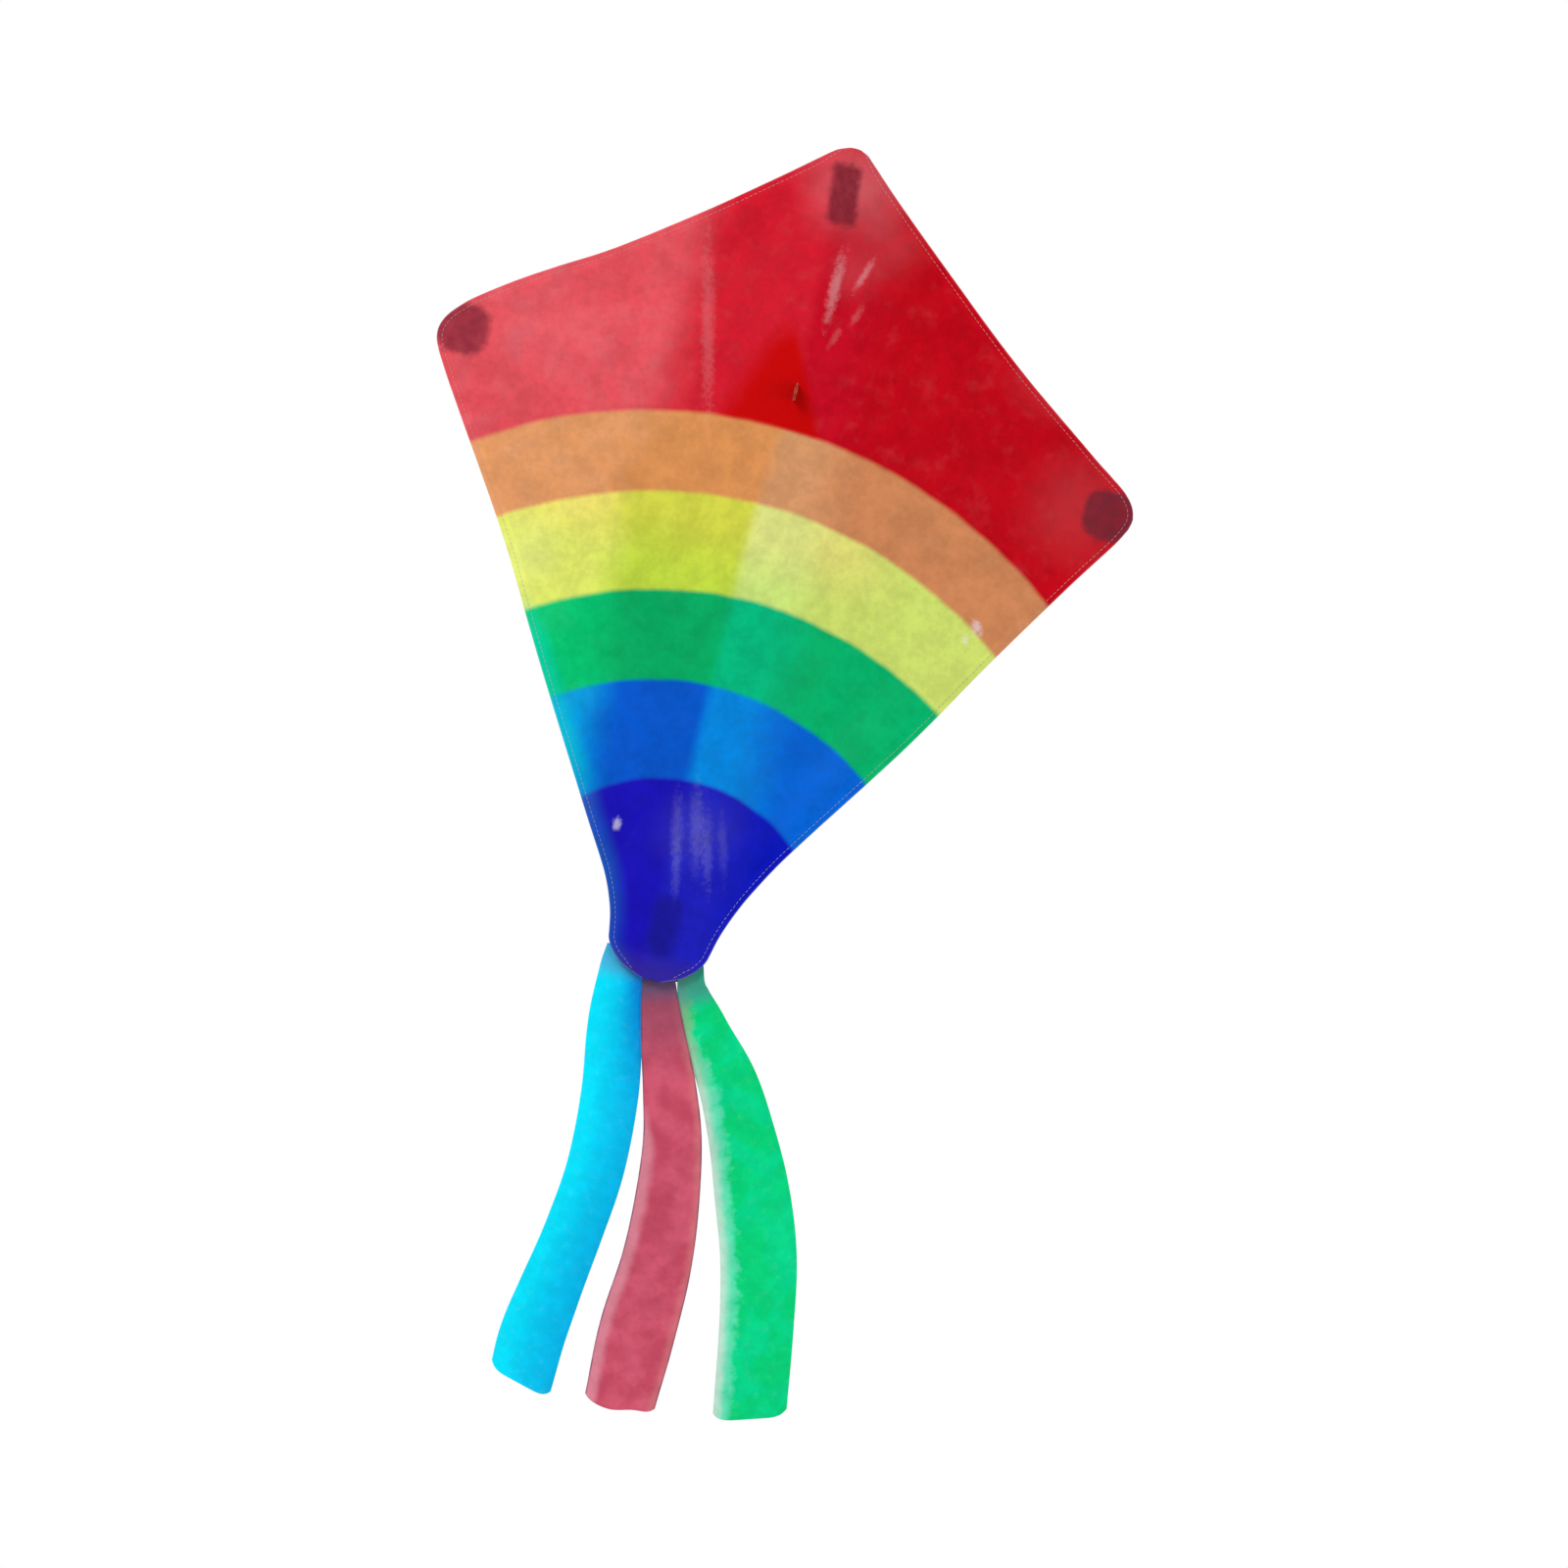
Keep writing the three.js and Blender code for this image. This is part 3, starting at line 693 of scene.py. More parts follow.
def dark_cloth():
    """Black woven polyester, a little dusty."""
    look = Look("dark_cloth", roughness=0.78, specular_ior_level=0.3, sheen_weight=0.25, sheen_roughness=0.5)
    weave = look.weave(look.x + look.y, look.z, 0.7)
    dust = look.noise(6, 4, 0.65).between(0.45, 0.75, 0, 0.35)
    colour = look.mix(weave, linear(26, 20, 26), linear(46, 38, 46))
    colour = look.mix(dust, colour, linear(96, 84, 92))
    return look.finished(colour, (look.noise(5, 3), 0.4, 0.4), (weave, 0.09, 0.8))


def fibreglass():
    """A dark drawn rod, with fine streaks along it and scuffs where the cloth rubs."""
    look = Look("fibreglass", roughness=0.3, specular_ior_level=0.55, coat_weight=0.25, coat_roughness=0.2)
    streaks = look.noise(0.35, 4, over=look.stretched(0.03, 1, 1, look.attribute("axial")))
    scuffs = look.noise(3, 4, 0.7).between(0.58, 0.72)
    colour = look.mix(streaks.between(0.35, 0.65), linear(30, 31, 34), linear(62, 62, 60))
    colour = look.mix(scuffs * 0.35, colour, linear(140, 138, 130))
    return look.finished(colour, (streaks, 0.12, 0.5), roughness=scuffs.between(0, 1, 0.26, 0.6))


def soft_vinyl():
    """Black moulded vinyl with a fine skin and pale dust in its low places."""
    look = Look("soft_vinyl", roughness=0.5, specular_ior_level=0.4)
    dust = look.noise(4, 4, 0.6).between(0.5, 0.78, 0, 0.3)
    colour = look.mix(dust, linear(24, 24, 26), linear(84, 82, 80))
    return look.finished(colour, (look.noise(0.6, 3), 0.08, 0.5), roughness=dust.between(0, 0.3, 0.42, 0.68))


def red_webbing():
    """Woven tape with ribs across its length, worn paler on the high ones."""
    look = Look("red_webbing", roughness=0.75, specular_ior_level=0.25, sheen_weight=0.2)
    ribs = look.y.wave(1.1) * 0.5 + 0.5
    height = ribs * 0.7 + look.weave(look.y + look.z, look.z, 0.6) * 0.3
    worn = height.between(0.4, 1) * look.noise(3, 3)
    return look.finished(look.mix(worn, linear(168, 6, 16), linear(206, 40, 48)), (height, 0.22, 0.8))


def brass():
    """Pressed brass, tarnished in patches."""
    look = Look("brass", roughness=0.28, metallic=1.0)
    tarnish = look.noise(1.8, 4, 0.65).between(0.42, 0.7)
    colour = look.mix(tarnish, linear(214, 184, 112), linear(150, 118, 66))
    lines = look.noise(0.5, over=look.stretched(1, 1, 6))
    return look.finished(colour, (lines, 0.03, 0.4), roughness=tarnish.between(0, 1, 0.2, 0.46))


def thread(name, colour):
    """Twisted sewing thread."""
    look = Look(name, roughness=0.55, specular_ior_level=0.4, sheen_weight=0.3)
    ply = (look.x + look.y + look.z).wave(0.4).between(-1, 1)
    colour = look.mix(ply, linear(*[part * 0.72 for part in colour]), linear(*colour))
    return look.finished(colour, (ply, 0.06, 0.6))


def ribbon_look(name, colours):
    """A ribbon's material: its own colours, then mottling, a painted pale sheen, a weave and a little light
    through it.

    It reads the attribute strip: the distance from the ribbon's left edge, the length down and its width."""
    look = Look(name, reads="strip", roughness=0.48, specular_ior_level=0.06, sheen_weight=0.02)
    colour = colours(look, look.x, look.y)
    patches = look.noise(12, 4, 0.6).between(0.35, 0.68, -0.05, 0.05)
    colour = look.brightened(colour, patches + 1.0)
    # Painted sheen: white mixed in over small patches.
    painted_sheen = look.noise(7, 4, 0.65).between(0.52, 0.8, 0, 0.03)
    colour = look.mix(painted_sheen, colour, SHEEN_AND_FRINGE_WHITE)
    crinkle = look.noise(8, 4, 0.6, look.stretched(1, 0.5, 0))
    return look.finished(colour, (crinkle, 0.8, 0.3), (look.weave(look.x, look.y, 0.55), 0.05, 0.35),
                         roughness=look.noise(9, 3).between(0.3, 0.7, 0.36, 0.5), through=0.2)


def cyan_colours(look, left, along):
    """Deeper from left to right, and shaded blue at the top."""
    share = left / look.z
    stops = [(0.22, (0, 224, 248)), (0.5, (0, 205, 240)), (0.86, (0, 188, 232)), (1.0, (0, 180, 228))]
    colour, passed = linear(0, 232, 252), 0.0
    for stop, bytes_there in stops:
        colour = look.mix(share.between(passed, stop, eased=False), colour, linear(*bytes_there))
        passed = stop
    shadow = along.between(150, 20, 0, 0.85) * share.between(0.45, 1)
    colour = look.mix(shadow, colour, linear(0, 118, 214))
    return look.mix(along.between(30, 14, 0, 0.6), colour, linear(92, 158, 214))


def rose_colours(look, left, along):
    """Paler down both sides, thinly outlined, and darker at the top."""
    right = look.z - left
    drift = look.drift(10, 2.5, 3)
    colour = look.mix(look.noise(22, 3).between(0.35, 0.65), linear(198, 76, 100), linear(212, 92, 116))
    pale_left = (left + drift - along.between(110, 170, 0, 10)).between(-5, 4, 1, 0)
    pale_left = pale_left * along.between(105, 150) * 0.7
    colour = look.mix(pale_left, colour, linear(226, 150, 166))
    colour = look.mix((right + drift).between(9, 2, 0, 0.4), colour, linear(216, 136, 132))
    colour = look.mix(along.between(110, 40, 0, 0.75), colour, linear(152, 76, 100))
    outline = look.math("MINIMUM", left, right).between(1.7, 0.5)
    outline = outline * look.noise(14).between(0.3, 0.6, 0.3, 0.8)
    colour = look.mix(outline, colour, linear(104, 72, 104))
    return look.mix(along.between(44, 24, 0, 0.8), colour, linear(88, 84, 122))


def green_colours(look, left, along):
    """Minty down its left side, which is olive at the top."""
    drift = look.drift(9, 10, 4, 0.6)
    colour = look.mix(look.noise(26, 3).between(0.4, 0.62), linear(0, 211, 124), linear(0, 217, 144))
    minty = (left + drift - along.between(30, 90, 7, 14)).between(-5, 4, 0.85, 0)
    inwards = (drift * 0.35 + left).between(1, 10)
    mint = look.mix(inwards, linear(208, 230, 220), linear(104, 226, 188))
    colour = look.mix(minty, colour, mint)
    olive = along.between(130, 30) * (left + drift).between(14, 6) * 0.85
    colour = look.mix(olive, colour, linear(126, 190, 128))
    return look.mix(along.between(42, 24, 0, 0.8), colour, linear(66, 152, 142))


def floor_paint():
    look = Look("floor_paint", roughness=0.85, specular_ior_level=0.2)
    tone = look.noise(0.4, 3, over=look.node("TexCoord", (), "Object")).between(0.3, 0.7)
    return look.finished(look.mix(tone, (0.74, 0.74, 0.73, 1), (0.8, 0.8, 0.79, 1)))


PRINTED = printed_cloth()
DARK = dark_cloth()
ROD = fibreglass()
VINYL = soft_vinyl()
WEBBING = red_webbing()
BRASS = brass()
DARK_THREAD = thread("dark_thread", (58, 50, 58))
PALE_THREAD = thread("pale_thread", (190, 172, 178))
RIBBON_LOOKS = {
    "cyan": ribbon_look("cyan_ribbon", cyan_colours),
    "rose": ribbon_look("rose_ribbon", rose_colours),
    "green": ribbon_look("green_ribbon", green_colours),
}

# ---- sail ----

EDGE_POINTS = 1400


def free_edge(side):
    """Heights down the sail's free edge and its distance from the fold, from the frame's sail."""
    reach = {}
    for vertex in frame["nodes"][f"sail_{SIDES[side]}"].data.vertices:
        height = round((vertex.co.z - CROSSING_Z) / MM, 1)
        distance = math.hypot(vertex.co.x - FOLD[0], vertex.co.y - FOLD[1]) / MM
        reach[height] = max(reach.get(height, 0), distance)
    heights = [h for h in sorted(reach, reverse=True) if reach[h] > 2 * SLIT["half_width"] + 1]
    return curve_through([(h, reach[h]) for h in heights], EDGE_POINTS)


EDGES = {side: free_edge(side) for side in SIDES}


def reach_at(side, height):
    """The sail's reach from the fold at any height."""
    edge = EDGES[side][::-1]
    return np.interp(height, edge[:, 0], edge[:, 1])


FOLD_ROUNDING = 7
ROW_SPACING = 3.2
ROW_TURN = math.radians(3.5)
NOSE_DOME = {"rise": 0.4, "depth": 7}
FIELD_COLUMNS = 72
HEM_COLUMNS = [0.1, 0.22, 0.5, 0.8, 1.0]  # shares of the hem's width from its inner line outwards
HEM_STITCH_COLUMN = FIELD_COLUMNS + 2


def rows_down(side):
    """Heights down the sail and its reach at each, closer together round corners and past the slit."""
    edge = EDGES[side]
    heading = np.unwrap(np.arctan2(*np.gradient(edge, axis=0).T))
    turned_by = np.concatenate([[0], np.cumsum(np.abs(np.diff(heading)))])
    need = lengths(edge) / ROW_SPACING + turned_by / ROW_TURN
    heights = np.interp(np.linspace(0, need[-1], int(need[-1])), need, edge[:, 0])
    past_slit = SLIT["height"] + np.linspace(-1.2, 1.2, 33) * SLIT["half_height"]
    close = np.abs(heights - SLIT["height"]) < 1.25 * SLIT["half_height"]
    merged = np.sort(np.concatenate([heights[~close], past_slit]))[::-1]
    return merged, reach_at(side, merged)


def panel(height, low, high):
    return np.sin(math.pi * np.clip((height - low) / (high - low), 0, 1)) ** 2


def billow(distance, half_width, height):
    """How far back the wind has pushed the cloth."""
    t = np.clip((distance - BILLOW["from"]) / np.maximum(half_width - 1.5 * BILLOW["from"], 1), 0, 1)
    depth = BILLOW["upper"] * panel(height, *BILLOW["upper panel"])
    depth = depth + BILLOW["lower"] * panel(height, *BILLOW["lower panel"])
    return depth * np.sin(math.pi * t) ** 2


def ridge(x, z, start, end, width):
    """1 along the line from start to end, falling off within width and at its ends."""
    start, end = np.array(start, float), np.array(end, float)
    run = end - start
    t = np.clip(((x - start[0]) * run[0] + (z - start[1]) * run[1]) / (run @ run), 0, 1)
    off = np.hypot(x - start[0] - t * run[0], z - start[1] - t * run[1])
    return (1 - smooth(off, 0, width)) * smooth(t, 0, 0.15) * smooth(1 - t, 0, 0.15)


# Small folds: start, end, width, height back from the face.
FOLDS = {
    LEFT: [
        ((-103, 137), (-65, -17), 5, 0.9), ((-4, -293), (-12, -391), 4, 0.8),
        ((-14, -300), (-20, -385), 4, -0.7), ((-250, 30), (-150, 64), 12, 0.9),
        ((-262, -10), (-170, -70), 14, 1.0), ((-60, -400), (-34, -330), 5, 0.8),
    ],
    RIGHT: [
        ((16, 149), (14, 87), 3.5, -0.9), ((39, 147), (33, 112), 3.5, -0.8),
        ((27, 140), (22, 100), 3.5, 0.7), ((14, -290), (4, -391), 4, -0.9),
        ((26, -300), (16, -392), 4, 0.8), ((38, -318), (24, -390), 4, -0.7),
        ((252, -20), (160, 10), 13, 0.9), ((240, -40), (150, -110), 14, 1.0),
        ((118, -236), (100, -196), 8, 1.0),
    ],
}


def sail_depth(side, distance, height, half_width):
    """Depth of the printed face behind its flat place."""
    x = side * distance
    points = stacked(x, 0, height)
    rounding = np.hypot(distance, FOLD_ROUNDING) - distance
    depth = billow(distance, half_width, height) + rounding * math.sin(SWEEP)
    free = smooth(distance, 5, 34) * smooth(half_width - distance, 0, 12)
    free = free * (1 - 0.85 * smooth(50 - np.hypot(distance, height - 6), 0, 20))
    ripples = 1.5 * wander(points, 95, 3) + 0.55 * wander(points, 38, 9) + 0.2 * wander(points, 15, 5)
    edge_wave = smooth(half_width - distance, 60, 0) * smooth(distance, 30, 90)
    depth = depth + free * ripples + 1.3 * edge_wave * wander(points, 60, 21)
    for start, end, width, size in FOLDS[side]:
        depth = depth + size * ridge(x, height, start, end, width) * smooth(distance, 3, 9)
    return depth


def slit_edge(heights):
    """How far the towing slit's edge is from the fold at these heights, and 0 above and below it."""
    off_middle = np.abs(heights - SLIT["height"]) / SLIT["half_height"]
    return SLIT["half_width"] * np.maximum(1 - off_middle**6, 0)


def sail_grid(side):
    """The sail half's printed face: distance, height, depth and edge distance for each grid point."""
    heights, reach = rows_down(side)
    steepness = np.abs(np.gradient(heights)) / np.hypot(np.gradient(heights), np.gradient(reach))
    hem = np.minimum(HEM["width"] / np.maximum(steepness, 0.2), 0.45 * reach)
    inner = slit_edge(heights)
    field = np.linspace(0, 1, FIELD_COLUMNS) * (reach - hem - inner)[:, None] + inner[:, None]
    outer = (reach - hem)[:, None] + np.array(HEM_COLUMNS) * hem[:, None]
    distance = np.concatenate([field, outer], axis=1)
    half_width = np.broadcast_to(reach[:, None], distance.shape)
    domed = NOSE_DOME["rise"] * smooth(heights, heights[0] - NOSE_DOME["depth"], heights[0])
    height = heights[:, None] + domed[:, None] * (1 - (distance / half_width) ** 2)
    edge = (half_width - distance) * steepness[:, None]
    return distance, height, sail_depth(side, distance, height, half_width), edge


def sail_back(edge):
    """Cloth thickness, doubled and folded over along the hem."""
    return SAIL_CLOTH + HEM["extra"] * (1 - smooth(edge, HEM["width"] - 1.2, HEM["width"] - 0.2))


def sail_half(side):
    """Half the sail, which bends at the fold. Returns its two faces."""
    distance, height, depth, edge = sail_grid(side)
    front = wing(side, distance, depth, height)
    back = wing(side, distance, depth + sail_back(edge), height)
    shape = sheet(Shape(), front, back, hem=stacked(edge, 0, 0))
    name = SIDES[side]
    sail = shape.solid(f"sail_cloth_{name}", PRINTED, "printed_sail", crisp=50)
    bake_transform(sail)
    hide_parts(f"sail_{name}")
    return front, back


def hem_stitches(side, front, back):
    """A row of stitches down the hem, seen on both faces."""
    facing = np.array([-side * math.sin(SWEEP), -math.cos(SWEEP), 0.0])
    shape = Shape()
    rows = slice(6, -6)
    stitches(shape, front[rows, HEM_STITCH_COLUMN], facing)
    stitches(shape, back[rows, HEM_STITCH_COLUMN], -facing)
    made = shape.piece(f"hem_stitches_{SIDES[side]}", PALE_THREAD, "printed_sail")
    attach(made, f"{SIDES[side]}_wing")


# ---- pockets, ties and patch on the back of the sail ----

ARCH_COLUMNS = 34
ARCH_FOOT = 1.6  # how many times its height an arch over the spine reaches to each side
ARCH_START = 1.6  # the depth, from the printed face's flat place, that an arch is lifted from
CLOTH_CORNER = 2.5


def on_sail(side, distance, height, gap=SEWN_GAP):
    """The kite point just behind the sail's back at this place of the wing."""
    distance, height = np.broadcast_arrays(np.asarray(distance, float), np.asarray(height, float))
    depth = sail_depth(side, distance, height, reach_at(side, height))
    return wing(side, distance, depth + SAIL_CLOTH + gap, height)


def arch_section(half_width, arch):
    """Half of a cloth arched over a rod: [distance from the fold, how far it is lifted to the arch]."""
    shares = [(0, 1), (0.45, 0.985), (0.8, 0.88), (0.99, 0.68), (1.06, 0.45), (1.2, 0.2), (ARCH_FOOT, 0.04)]
    lift = arch + SAIL_DEPTH - ARCH_START
    knots = [[out * arch, up * lift] for out, up in shares]
    return curve_through([*knots, [ARCH_FOOT * arch + 0.8, 0.0], [half_width, 0.0]], ARCH_COLUMNS)


def facing_out(inner, side):
    """The direction out of an arched cloth at each grid point, square to its section."""
    slope = np.gradient(inner, axis=1)
    normal = stacked(slope[..., 1], -slope[..., 0], 0)
    normal /= np.maximum(np.linalg.norm(normal, axis=-1, keepdims=True), 1e-9)
    normal *= np.sign(normal[..., 1:2] + side * normal[..., 0:1] * 1e-3 + 1e-12)
    normal[:, 0] = [0, 1, 0]
    return normal


def half_arch(name, side, low, high, half_width, arch, closed_end):
    """One side of a pocket or tie, from the crest over the spine out to its edge on the sail."""
    section = arch_section(half_width, arch)
    heights = np.linspace(low, high, max(int((high - low) / 0.9), 12))
    lifted, mouth = np.ones(len(heights)), np.zeros(len(heights))
    if closed_end:
        from_closed, from_open = heights - low, high - heights
        if closed_end > 0:
            from_closed, from_open = from_open, from_closed
        lifted = smooth(from_closed, -0.4, 4.2) * 0.9 + 0.1
        mouth = 0.35 * (1 - smooth(from_open, 5.0, 6.0))
    from_end = np.minimum(heights - low, high - heights)[:, None]
    near_edge = smooth(section[:, 0], half_width - 3, half_width)
    distance = section[:, 0] - smooth(CLOTH_CORNER - from_end, 0, CLOTH_CORNER) * near_edge * 1.4
    inner = on_sail(side, distance, heights[:, None])
    pucker = 0.16 * wander(inner, 7, 4) * smooth(section[:, 1] / section[0, 1], 0.02, 0.5)
    inner[..., 1] += section[:, 1] * lifted[:, None] + pucker
    outer = inner + facing_out(inner, side) * (POCKET_CLOTH + mouth)[:, None, None]
    made = sheet(Shape(), outer, inner).solid(f"{name}_{SIDES[side]}", DARK, "pocket_cloth")
    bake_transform(made)
    return made


def over_spine(name, node, flat, low, high, half_width, arch, closed_end=0):
    """A pocket or tie in two halves that meet over the spine."""
    halves = [half_arch(name, side, low, high, half_width, arch, closed_end) for side in SIDES]
    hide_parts(node)


def pocket(end, facts, closed_end):
    flat = (FLAT_HALF["pocket"] * MM, (facts["high"] - facts["low"]) * MM)
    over_spine(f"{end}_pocket_cloth", f"{end}_pocket", flat, **facts, arch=POCKET_ARCH, closed_end=closed_end)


def tie(name, height):
    low, high = height - TIE["half_height"], height + TIE["half_height"]
    flat = (FLAT_HALF["tie"] * MM, (high - low) * MM)
    over_spine(f"tie_{name}", f"spine_tie_{name}", flat, low, high, TIE["half_width"], TIE["arch"])


def flap_seams(side, low, high, inner, outer):
    """Lines down a pocket's flap and across its ends, on top of the flap."""
    lift = POCKET_CLOTH + 0.08
    across = np.linspace(inner, outer, 8)
    ends = [on_sail(side, across, height, lift) for height in (low, high)]
    return [on_sail(side, outer, np.linspace(high, low, 40), lift), *ends]


def sewn_down(side):
    """Every stitch that holds pockets, ties and patch to this wing."""
    shape = Shape()
    back = backward(side)
    flaps = [(NOSE_POCKET["low"] + 1.5, NOSE_POCKET["high"] - 2.0, 8.2, NOSE_POCKET["half_width"] - 1.3),
             (TAIL_POCKET["low"] + 2.0, TAIL_POCKET["high"] - 1.5, 8.2, TAIL_POCKET["half_width"] - 1.3)]
    flaps += [(height - 4.8, height + 4.8, 5.4, TIE["half_width"] - 1.0) for height in TIES.values()]
    for flap in flaps:
        for seam in flap_seams(side, *flap):
            stitches(shape, seam, back, length=1.9, gap=1.0)
    stitches(shape, patch_seam(side), back, length=2.0, gap=1.2)
    stitches(shape, tip_seam(side), back, length=2.0, gap=1.2)
    made = shape.piece(f"pocket_stitches_{SIDES[side]}", DARK_THREAD, "pocket_cloth")
    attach(made, f"{SIDES[side]}_wing")


def patch_width(height):
    """How far the patch reaches from the fold, with its corners rounded."""
    up = PATCH["reach"] * (PATCH["top"] - height) / (PATCH["top"] - PATCH["shoulder"])
    down = PATCH["reach"] * (height - PATCH["bottom"]) / -PATCH["bottom"]
    limits = stacked(up, down, PATCH["reach"])
    return -np.log(np.exp(-limits / 1.6).sum(axis=-1)) * 1.6


def patch(side):
    heights = np.linspace(PATCH["bottom"] + 1.5, PATCH["top"] - 1.5, 70)[:, None]
    inner = 0.3 + slit_edge(heights)
    reach = np.maximum(patch_width(heights), inner + 0.4)
    distance = inner + np.linspace(0, 1, 26) * (reach - inner)
    front = on_sail(side, distance, heights)
    edge = (reach - distance) * 0.75
    thick = PATCH["thickness"] + 0.25 * (1 - smooth(edge, 2.6, 3.6))
    back = front + backward(side) * thick[..., None]
    made = sheet(Shape(), front, back).solid(f"patch_cloth_{SIDES[side]}", DARK, "pocket_cloth")
    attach(made, f"{SIDES[side]}_wing")
    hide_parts(f"patch_{SIDES[side]}")


def patch_seam(side):
    heights = np.linspace(PATCH["bottom"] + 5, PATCH["top"] - 5, 60)
    distance = np.maximum(patch_width(heights) - 3.0, 0.6)
    return on_sail(side, distance, heights, PATCH["thickness"] + 0.28)


def tip_lift(along, off_axis):
    """How far the tip pocket's cloth stands off the sail over the spar's capped end."""
    away = np.hypot(off_axis, np.maximum(along - (SPAR_OUTER + 2), 0))
    return (TIP_POCKET["crest"] - 1.2) * (1 - smooth(away, 1.5, TIP_POCKET["shoulder"]))


def tip_surface(side, radius, turn, gap):
    """Points of the tip pocket's inner face, by polar place round its centre."""
    along = TIP_POCKET["centre"] + radius * np.cos(turn)
    off_axis = radius * np.sin(turn)
    flat = spar(side, along, 0.0, off_axis)
    from_spine = np.hypot(flat[..., 0], flat[..., 1] + SAIL_DEPTH)
    distance = np.sqrt(np.maximum(from_spine**2 - SAIL_DEPTH**2, 0))
    height = flat[..., 2]
    depth = sail_depth(side, distance, height, reach_at(side, height)) + SAIL_CLOTH + HEM["extra"] + gap
    lift = tip_lift(along, off_axis)
    pucker = 0.22 * np.sin(turn * 17 + 0.8) * smooth(radius, 11, 18) * smooth(lift, 0.0, 0.4)
    return wing(side, distance, depth + lift + pucker, height)


def tip_pocket(side):
    """A round pocket over the spar's end, with its edge turned in."""
    rings, turns = 22, 96
    radius = TIP_POCKET["radius"] * np.sqrt(np.linspace(0.0004, 1, rings))[:, None]
    turn = np.arange(turns + 1) / turns * 2 * math.pi
    radius, turn = np.broadcast_arrays(radius, turn)
    wavy = 1 + 0.012 * np.sin(turn * 5 + side) + 0.008 * np.sin(turn * 11)
    inner = tip_surface(side, radius * wavy, turn, SEWN_GAP)
    thick = POCKET_CLOTH + TIP_POCKET["hem"] * smooth(radius, 16.6, 17.4)
    outer = inner + backward(side) * thick[..., None]
    shape = plate(Shape(), inner, outer, holed=False)
    made = shape.solid(f"tip_pocket_cloth_{SIDES[side]}", DARK, "pocket_cloth", welded=True)
    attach(made, f"{SIDES[side]}_wing")
    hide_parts(f"tip_pocket_{SIDES[side]}")


def tip_seam(side):
    """The stitched line round a tip pocket, which leaves its mouth open."""
    turn = np.linspace(-math.pi * 0.8, math.pi * 0.8, 90)
    return tip_surface(side, TIP_POCKET["stitch"], turn, SEWN_GAP + POCKET_CLOTH + TIP_POCKET["hem"])


# ---- rods, caps and hub ----

ROD_EASE = 0.35  # how far a rod's ends are eased
SKIN_VOXEL = 0.00026  # metres


def turned_piece(name, node, body, profile, place, look, slot, sides, crisp):
    """A lathe form that rides a body and stands for a node."""
    made = turned(Shape(), profile, place, sides).solid(name, look, slot, crisp)
    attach(made, body)
    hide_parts(node)


def rod(name, node, body, low, high, place):
    """A rod with eased ends, and rings enough for its streaks."""
    rings = [[ROD_RADIUS, along] for along in np.linspace(low + ROD_EASE, high - ROD_EASE, 25)]
    eased = ROD_RADIUS - ROD_EASE
    profile = [[0, low], [eased, low], *rings, [eased, high], [0, high]]
    turned_piece(name, node, body, profile, place, ROD, "fibreglass_rod", 28, 35)


def cap(name, node, body, place_from, end, direction=1):
    """An end cap, pushed over the end of a rod."""
    radius, length, floor, bore = CAP["radius"], CAP["length"], CAP["floor"], CAP["bore"]
    outside = [[bore + 0.15, 0], [radius - 0.25, 0], [radius, 0.25], [radius, 1.1], [radius - 0.18, 1.4],
               [radius - 0.18, length - 1.8], [radius - 0.45, length - 0.6], [radius - 1.2, length - 0.05]]
    inside = [[bore, 0.15], [bore, length - floor], [0, length - floor]]
    mouth = end - direction * (length - floor - 0.3)
    profile = [[0, length], *outside[::-1], *inside]
    turned_piece(name, node, body, profile, place_from(mouth), VINYL, "black_vinyl", 32, 50)


def hub():
    """The moulded cross tube: an upright sleeve, two stubs and a flat pad, run together as one."""
    radius, bore, high, stub, reach = [HUB[key] for key in ("radius", "bore", "half_height", "stub", "reach")]
    shape = Shape()
    rim = [[radius - 0.35, high - 2.6], [radius, high - 2], [radius, high - 0.5],
           [radius - 0.5, high], [bore, high]]
    turned(shape, [[out, -up] for out, up in rim[::-1]] + rim, round_spine(), sides=48)
    stub_profile = [[0, 2.2], [stub, 2.2], [stub, reach - 0.4], [stub - 0.4, reach], [0, reach]]
    for side in SIDES:
        turned(shape, stub_profile, lambda along, u, v, side=side: stacked(side * along, u, v))
    x, z = PAD["half_width"], PAD["half_height"]
    corners = [[sx * x, PAD[y], sz * z] for y in ("front", "back") for sz in (-1, 1) for sx in (-1, 1)]
    pad = [[0, 1, 3, 2], [4, 6, 7, 5], [0, 4, 5, 1], [2, 3, 7, 6], [0, 2, 6, 4], [1, 5, 7, 3]]
    shape.add(corners, pad, axial=corners)
    made = shape.solid("cross_tube", VINYL, "black_vinyl")
    run_together(made, SKIN_VOXEL)
    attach(made, "frame")
    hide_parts("centre_hub")


def run_together(piece, voxel):
    """Remeshes overlapping solids into one skin with soft inner corners, and renews its attribute."""
    remesh = piece.modifiers.new("skin", "REMESH")
    remesh.mode, remesh.voxel_size = "VOXEL", voxel
    soften = piece.modifiers.new("soft", "SMOOTH")
    soften.factor, soften.iterations = 0.5, 7
    whole = bpy.data.meshes.new_from_object(piece.evaluated_get(bpy.context.evaluated_depsgraph_get()))
    piece.modifiers.clear()
    piece.data = whole
    whole.polygons.foreach_set("use_smooth", [True] * len(whole.polygons))
    points = np.zeros(len(whole.vertices) * 3, np.float32)
    whole.vertices.foreach_get("co", points)
    for name in ("place", "axial"):
        if name in whole.attributes:
            whole.attributes.remove(whole.attributes[name])
    write_attribute(whole, "place", (points.reshape(-1, 3) - np.array([0, SPINE_Y, CROSSING_Z])) / MM)


